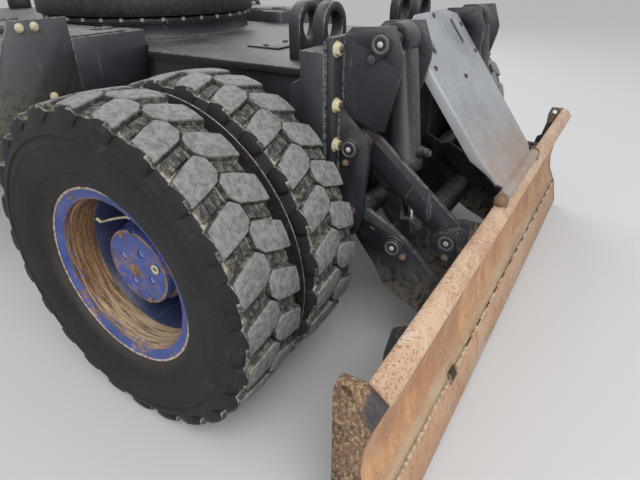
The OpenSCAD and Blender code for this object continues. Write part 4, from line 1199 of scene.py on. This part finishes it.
def guard():
    section = [(GUARD_START, y, z) for y, z in guard_section()]
    o = plate("guard_plate", section, (GUARD_LEN - GUARD_START, 0, 0), bevel=0)
    for side in (1, -1):
        for corners in (TOP_CUT, FOOT_CUT):
            cut_out(o, prism([(s, side * y) for s, y in corners], -0.08, 0.05))
        slot = arc(SLOT_FROM, side * SLOT_Y, SLOT_R, math.pi / 2, math.pi, 8)
        slot += arc(SLOT_TO, side * SLOT_Y, SLOT_R, -math.pi / 2, math.pi, 8)
        cut_out(o, prism(slot, -0.02, 0.02))
    break_edges(o, 0.0012)
    finish_with(o, ZINC)
    end = [(0.0142, GUARD_HALF), (TUBE_R - 0.001, GUARD_HALF), (TUBE_R, GUARD_HALF - 0.001)]
    tube = finish_with(turned("foot", end + mirrored(end), 40), ZINC)
    welds = []
    for side in (1, -1):
        welds.append(bead((0.0215, side * 0.015, 0.0055), (0.0215, side * 0.25, 0.0055), 0.0042, 24, ZINC))
    head = finish_with(hex_head(0.0085, 0.0055, collar=0.0105), BOLT_DARK)
    bolts = [put(head, (s, y, GUARD_T / 2), UPWARD) for s, y in GUARD_BOLTS]
    delete(head)
    o = joined("guard_folded", [o, tube] + welds + bolts)
    moved(o, Matrix.Translation(GUARD_HINGE) @ Matrix.Rotation(-GUARD_ANGLE, 4, "Y"))
    smooth(o)
    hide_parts("guard")
    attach(o, "guard_plate")


def hinge_bolt():
    """The guard's hinge rod ends in a bolt head on the near side and a nut on the far one."""
    parts = []
    for side, radius, height in ((1, 0.0175, 0.013), (-1, 0.0165, 0.015)):
        head = hex_head(radius, height, collar=0.0235)
        parts.append(put(head, GUARD_HINGE, across(side) @ Matrix.Translation((0, HINGE_END_Y, 0))))
        delete(head)
    o = joined("hinge_bolt", parts)
    finish_with(o, BOLT_RUST)
    smooth(o)
    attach(o, "blade")


# Frame top and sides: nuts under the slewing ring, a cover plate, bolts and grips of the steps, lid fittings

FRAME_TOP = 1.05
RING_NUTS = 36
RING_NUT_PLACE = (0.506, 0, 1.117)
COVER_CORNERS = ((-1.059, 0.14), (-0.908, 0.14), (-0.908, 0.32), (-1.059, 0.32))
COVER_T = 0.007
STEP_X0 = -0.5
STEP_LEN = 0.6
CHEEK_NUTS = ((0.972, 1.155), (0.921, 1.155), (0.917, 0.925), (1.13, 0.7))
# Each tread: its top and the rows of grips on it
TREADS = ((0.746, (1.035, 1.08, 1.125)), (1.09, (0.86, 0.905, 0.95, 0.995)))
# Rings of a row: their first and last places from the tread's ends, and their pitch
GRIP_FIRST = 0.04
GRIP_LAST = 0.025
GRIP_PITCH = 0.046
GRIP_SECTION = [(0.0075, -0.001), (0.0075, 0.0022), (0.009, 0.0034), (0.0115, 0.003), (0.0135, -0.001)]
LID_TOP = 1.1122
LID_HINGE_Y = 0.554
STRAP_T = 0.004
STRAPS_X = (-0.4, 0.28)
LATCH_CORNERS = ((-0.115, 0.725), (0.015, 0.725), (0.015, 0.775), (-0.115, 0.775))
HANDLE_Y = 0.752
HANDLE_ENDS = (-0.095, -0.005)


def ring_nuts():
    """The nuts of the slewing ring's bolts, at the flange of the drum."""
    nut = finish_with(hex_head(0.0095, 0.014), NIPPLE)
    o = joined("ring_nuts", copies_round(nut, RING_NUTS, "Z", Matrix.Translation(RING_NUT_PLACE) @ UPWARD))
    delete(nut)
    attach(o, "chassis")


def frame_cover():
    """A small cover plate bolted on the frame's top behind the slewing ring."""
    sheet = plate("cover", [(x, y, FRAME_TOP) for x, y in COVER_CORNERS], (0, 0, COVER_T), bevel=0.0015)
    finish_with(sheet, FRAME, FRAME_EDGE)
    head = finish_with(hex_head(0.0105, 0.007, collar=0.0135), BOLT_DARK)
    bolts = [put(head, (-0.983, y, FRAME_TOP + COVER_T), UPWARD) for y in (0.165, 0.295)]
    delete(head)
    o = joined("frame_cover", [sheet] + bolts)
    smooth(o)
    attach(o, "chassis")


def step_hardware():
    """Nuts of the cheeks on the toolbox and the raised grip rings of the treads."""
    nut = finish_with(hex_head(0.012, 0.01, collar=0.015), NUT_ZINC)
    parts = [put(nut, (STEP_X0, y, z), BACKWARD) for y, z in CHEEK_NUTS]
    grip = finish_with(turned("grip", GRIP_SECTION, 14), FRAME_EDGE)
    for top, rows in TREADS:
        for j, y in enumerate(rows):
            for k in range(12):
                x = STEP_X0 + GRIP_FIRST + GRIP_PITCH * k + GRIP_PITCH / 2 * (j % 2)
                if x < STEP_X0 + STEP_LEN - GRIP_LAST:
                    parts.append(put(grip, (x, y, top), UPWARD))
    delete(nut, grip)
    o = both_sides("step_hardware", parts)
    smooth(o)
    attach(o, "chassis")


def lid_hardware():
    """Hinge straps and a folding handle on each toolbox lid."""
    parts = []
    screw = finish_with(hex_head(0.006, 0.004), BOLT_DARK)
    y0, y1 = LID_HINGE_Y + 0.014, LID_HINGE_Y + 0.085
    for x in STRAPS_X:
        corners = ((x - 0.03, y0), (x + 0.03, y0), (x + 0.022, y1), (x - 0.022, y1))
        strap = plate("strap", [(*c, LID_TOP) for c in corners], (0, 0, STRAP_T), bevel=0.001)
        finish_with(strap, STEP, FRAME_EDGE)
        axis_z = LID_TOP + 0.002
        knuckle = rod("knuckle", 0.0065, (x - 0.03, y0, axis_z), (x + 0.03, y0, axis_z), 14)
        parts += [strap, finish_with(knuckle, BOLT_DARK)]
        for dx in (-0.013, 0.013):
            parts.append(put(screw, (x + dx, LID_HINGE_Y + 0.06, LID_TOP + STRAP_T), UPWARD))
    delete(screw)
    base = plate("latch", [(*c, LID_TOP) for c in LATCH_CORNERS], (0, 0, STRAP_T), bevel=0.0012)
    parts.append(finish_with(base, BOLT_DARK))
    bars = [rod("grip", 0.005, *((x, HANDLE_Y, LID_TOP + 0.014) for x in HANDLE_ENDS), 14)]
    for x in (HANDLE_ENDS[0] + 0.002, HANDLE_ENDS[1] - 0.002):
        bars.append(rod("foot", 0.0048, (x, HANDLE_Y, LID_TOP + 0.002), (x, HANDLE_Y, LID_TOP + 0.015), 12))
    parts += [finish_with(bar, NIPPLE) for bar in bars]
    left = joined("lid_fittings_left", parts)
    right = copy_at(left, BESIDE, "lid_fittings_right")
    for o, body in ((left, "lid_l"), (right, "lid_r")):
        smooth(o)
        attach(o, body)


tyres()
hoops()
rims()
hubs()
bracket_hardware()
arm_hardware()
link_hardware()
barrel_hardware()
blade_hardware()
guard()
hinge_bolt()
ring_nuts()
frame_cover()
step_hardware()
lid_hardware()


# Camera, floor and light

def stage():
    drop_selection()
    bpy.ops.mesh.primitive_plane_add(size=60.0, location=(0, 0, 0))
    floor = bpy.context.object
    floor.name = "floor"
    f = Finish("floor_pale", rough=0.9)
    f.shader.inputs["Base Color"].default_value = (0.62, 0.62, 0.62, 1.0)
    finish_with(floor, f.material)
    world = bpy.data.worlds.new("studio")
    bpy.context.scene.world = world
    world.use_nodes = True
    sky = world.node_tree.nodes["Background"].inputs
    sky["Color"].default_value = (0.95, 0.97, 1.0, 1.0)
    sky["Strength"].default_value = 0.75
    for name, place, aim, size, power in (
            ("key", (-4.5, 4.5, 6.0), (-1.2, 0.3, 0.4), 5.0, 330.0),
            ("fill", (4.0, -5.0, 5.0), (0.0, 0.0, 0.5), 6.0, 200.0)):
        lamp = bpy.data.lights.new(name, "AREA")
        lamp.size = size
        lamp.energy = power
        o = bpy.data.objects.new(name, lamp)
        o.location = place
        o.rotation_euler = (Vector(aim) - Vector(place)).to_track_quat("-Z", "Y").to_euler()
        bpy.context.scene.collection.objects.link(o)
    bpy.context.scene.view_settings.view_transform = "Standard"


# The camera stands where the photograph was taken: beside the blade, 1.3 m above the ground
CAMERA_AT = (-2.231, 1.895, 1.335)
CAMERA_HEADING = 301.95
CAMERA_PITCH = -29.88
LENS_MM = 27.0
SENSOR_MM = 36.0


def camera():
    data = bpy.data.cameras.new("camera")
    data.lens = LENS_MM
    data.sensor_width = SENSOR_MM
    o = bpy.data.objects.new("camera", data)
    o.location = CAMERA_AT
    o.rotation_euler = (math.radians(90 + CAMERA_PITCH), 0.0, math.radians(CAMERA_HEADING - 90))
    bpy.context.scene.collection.objects.link(o)
    bpy.context.scene.camera = o


stage()
camera()
drop_selection()
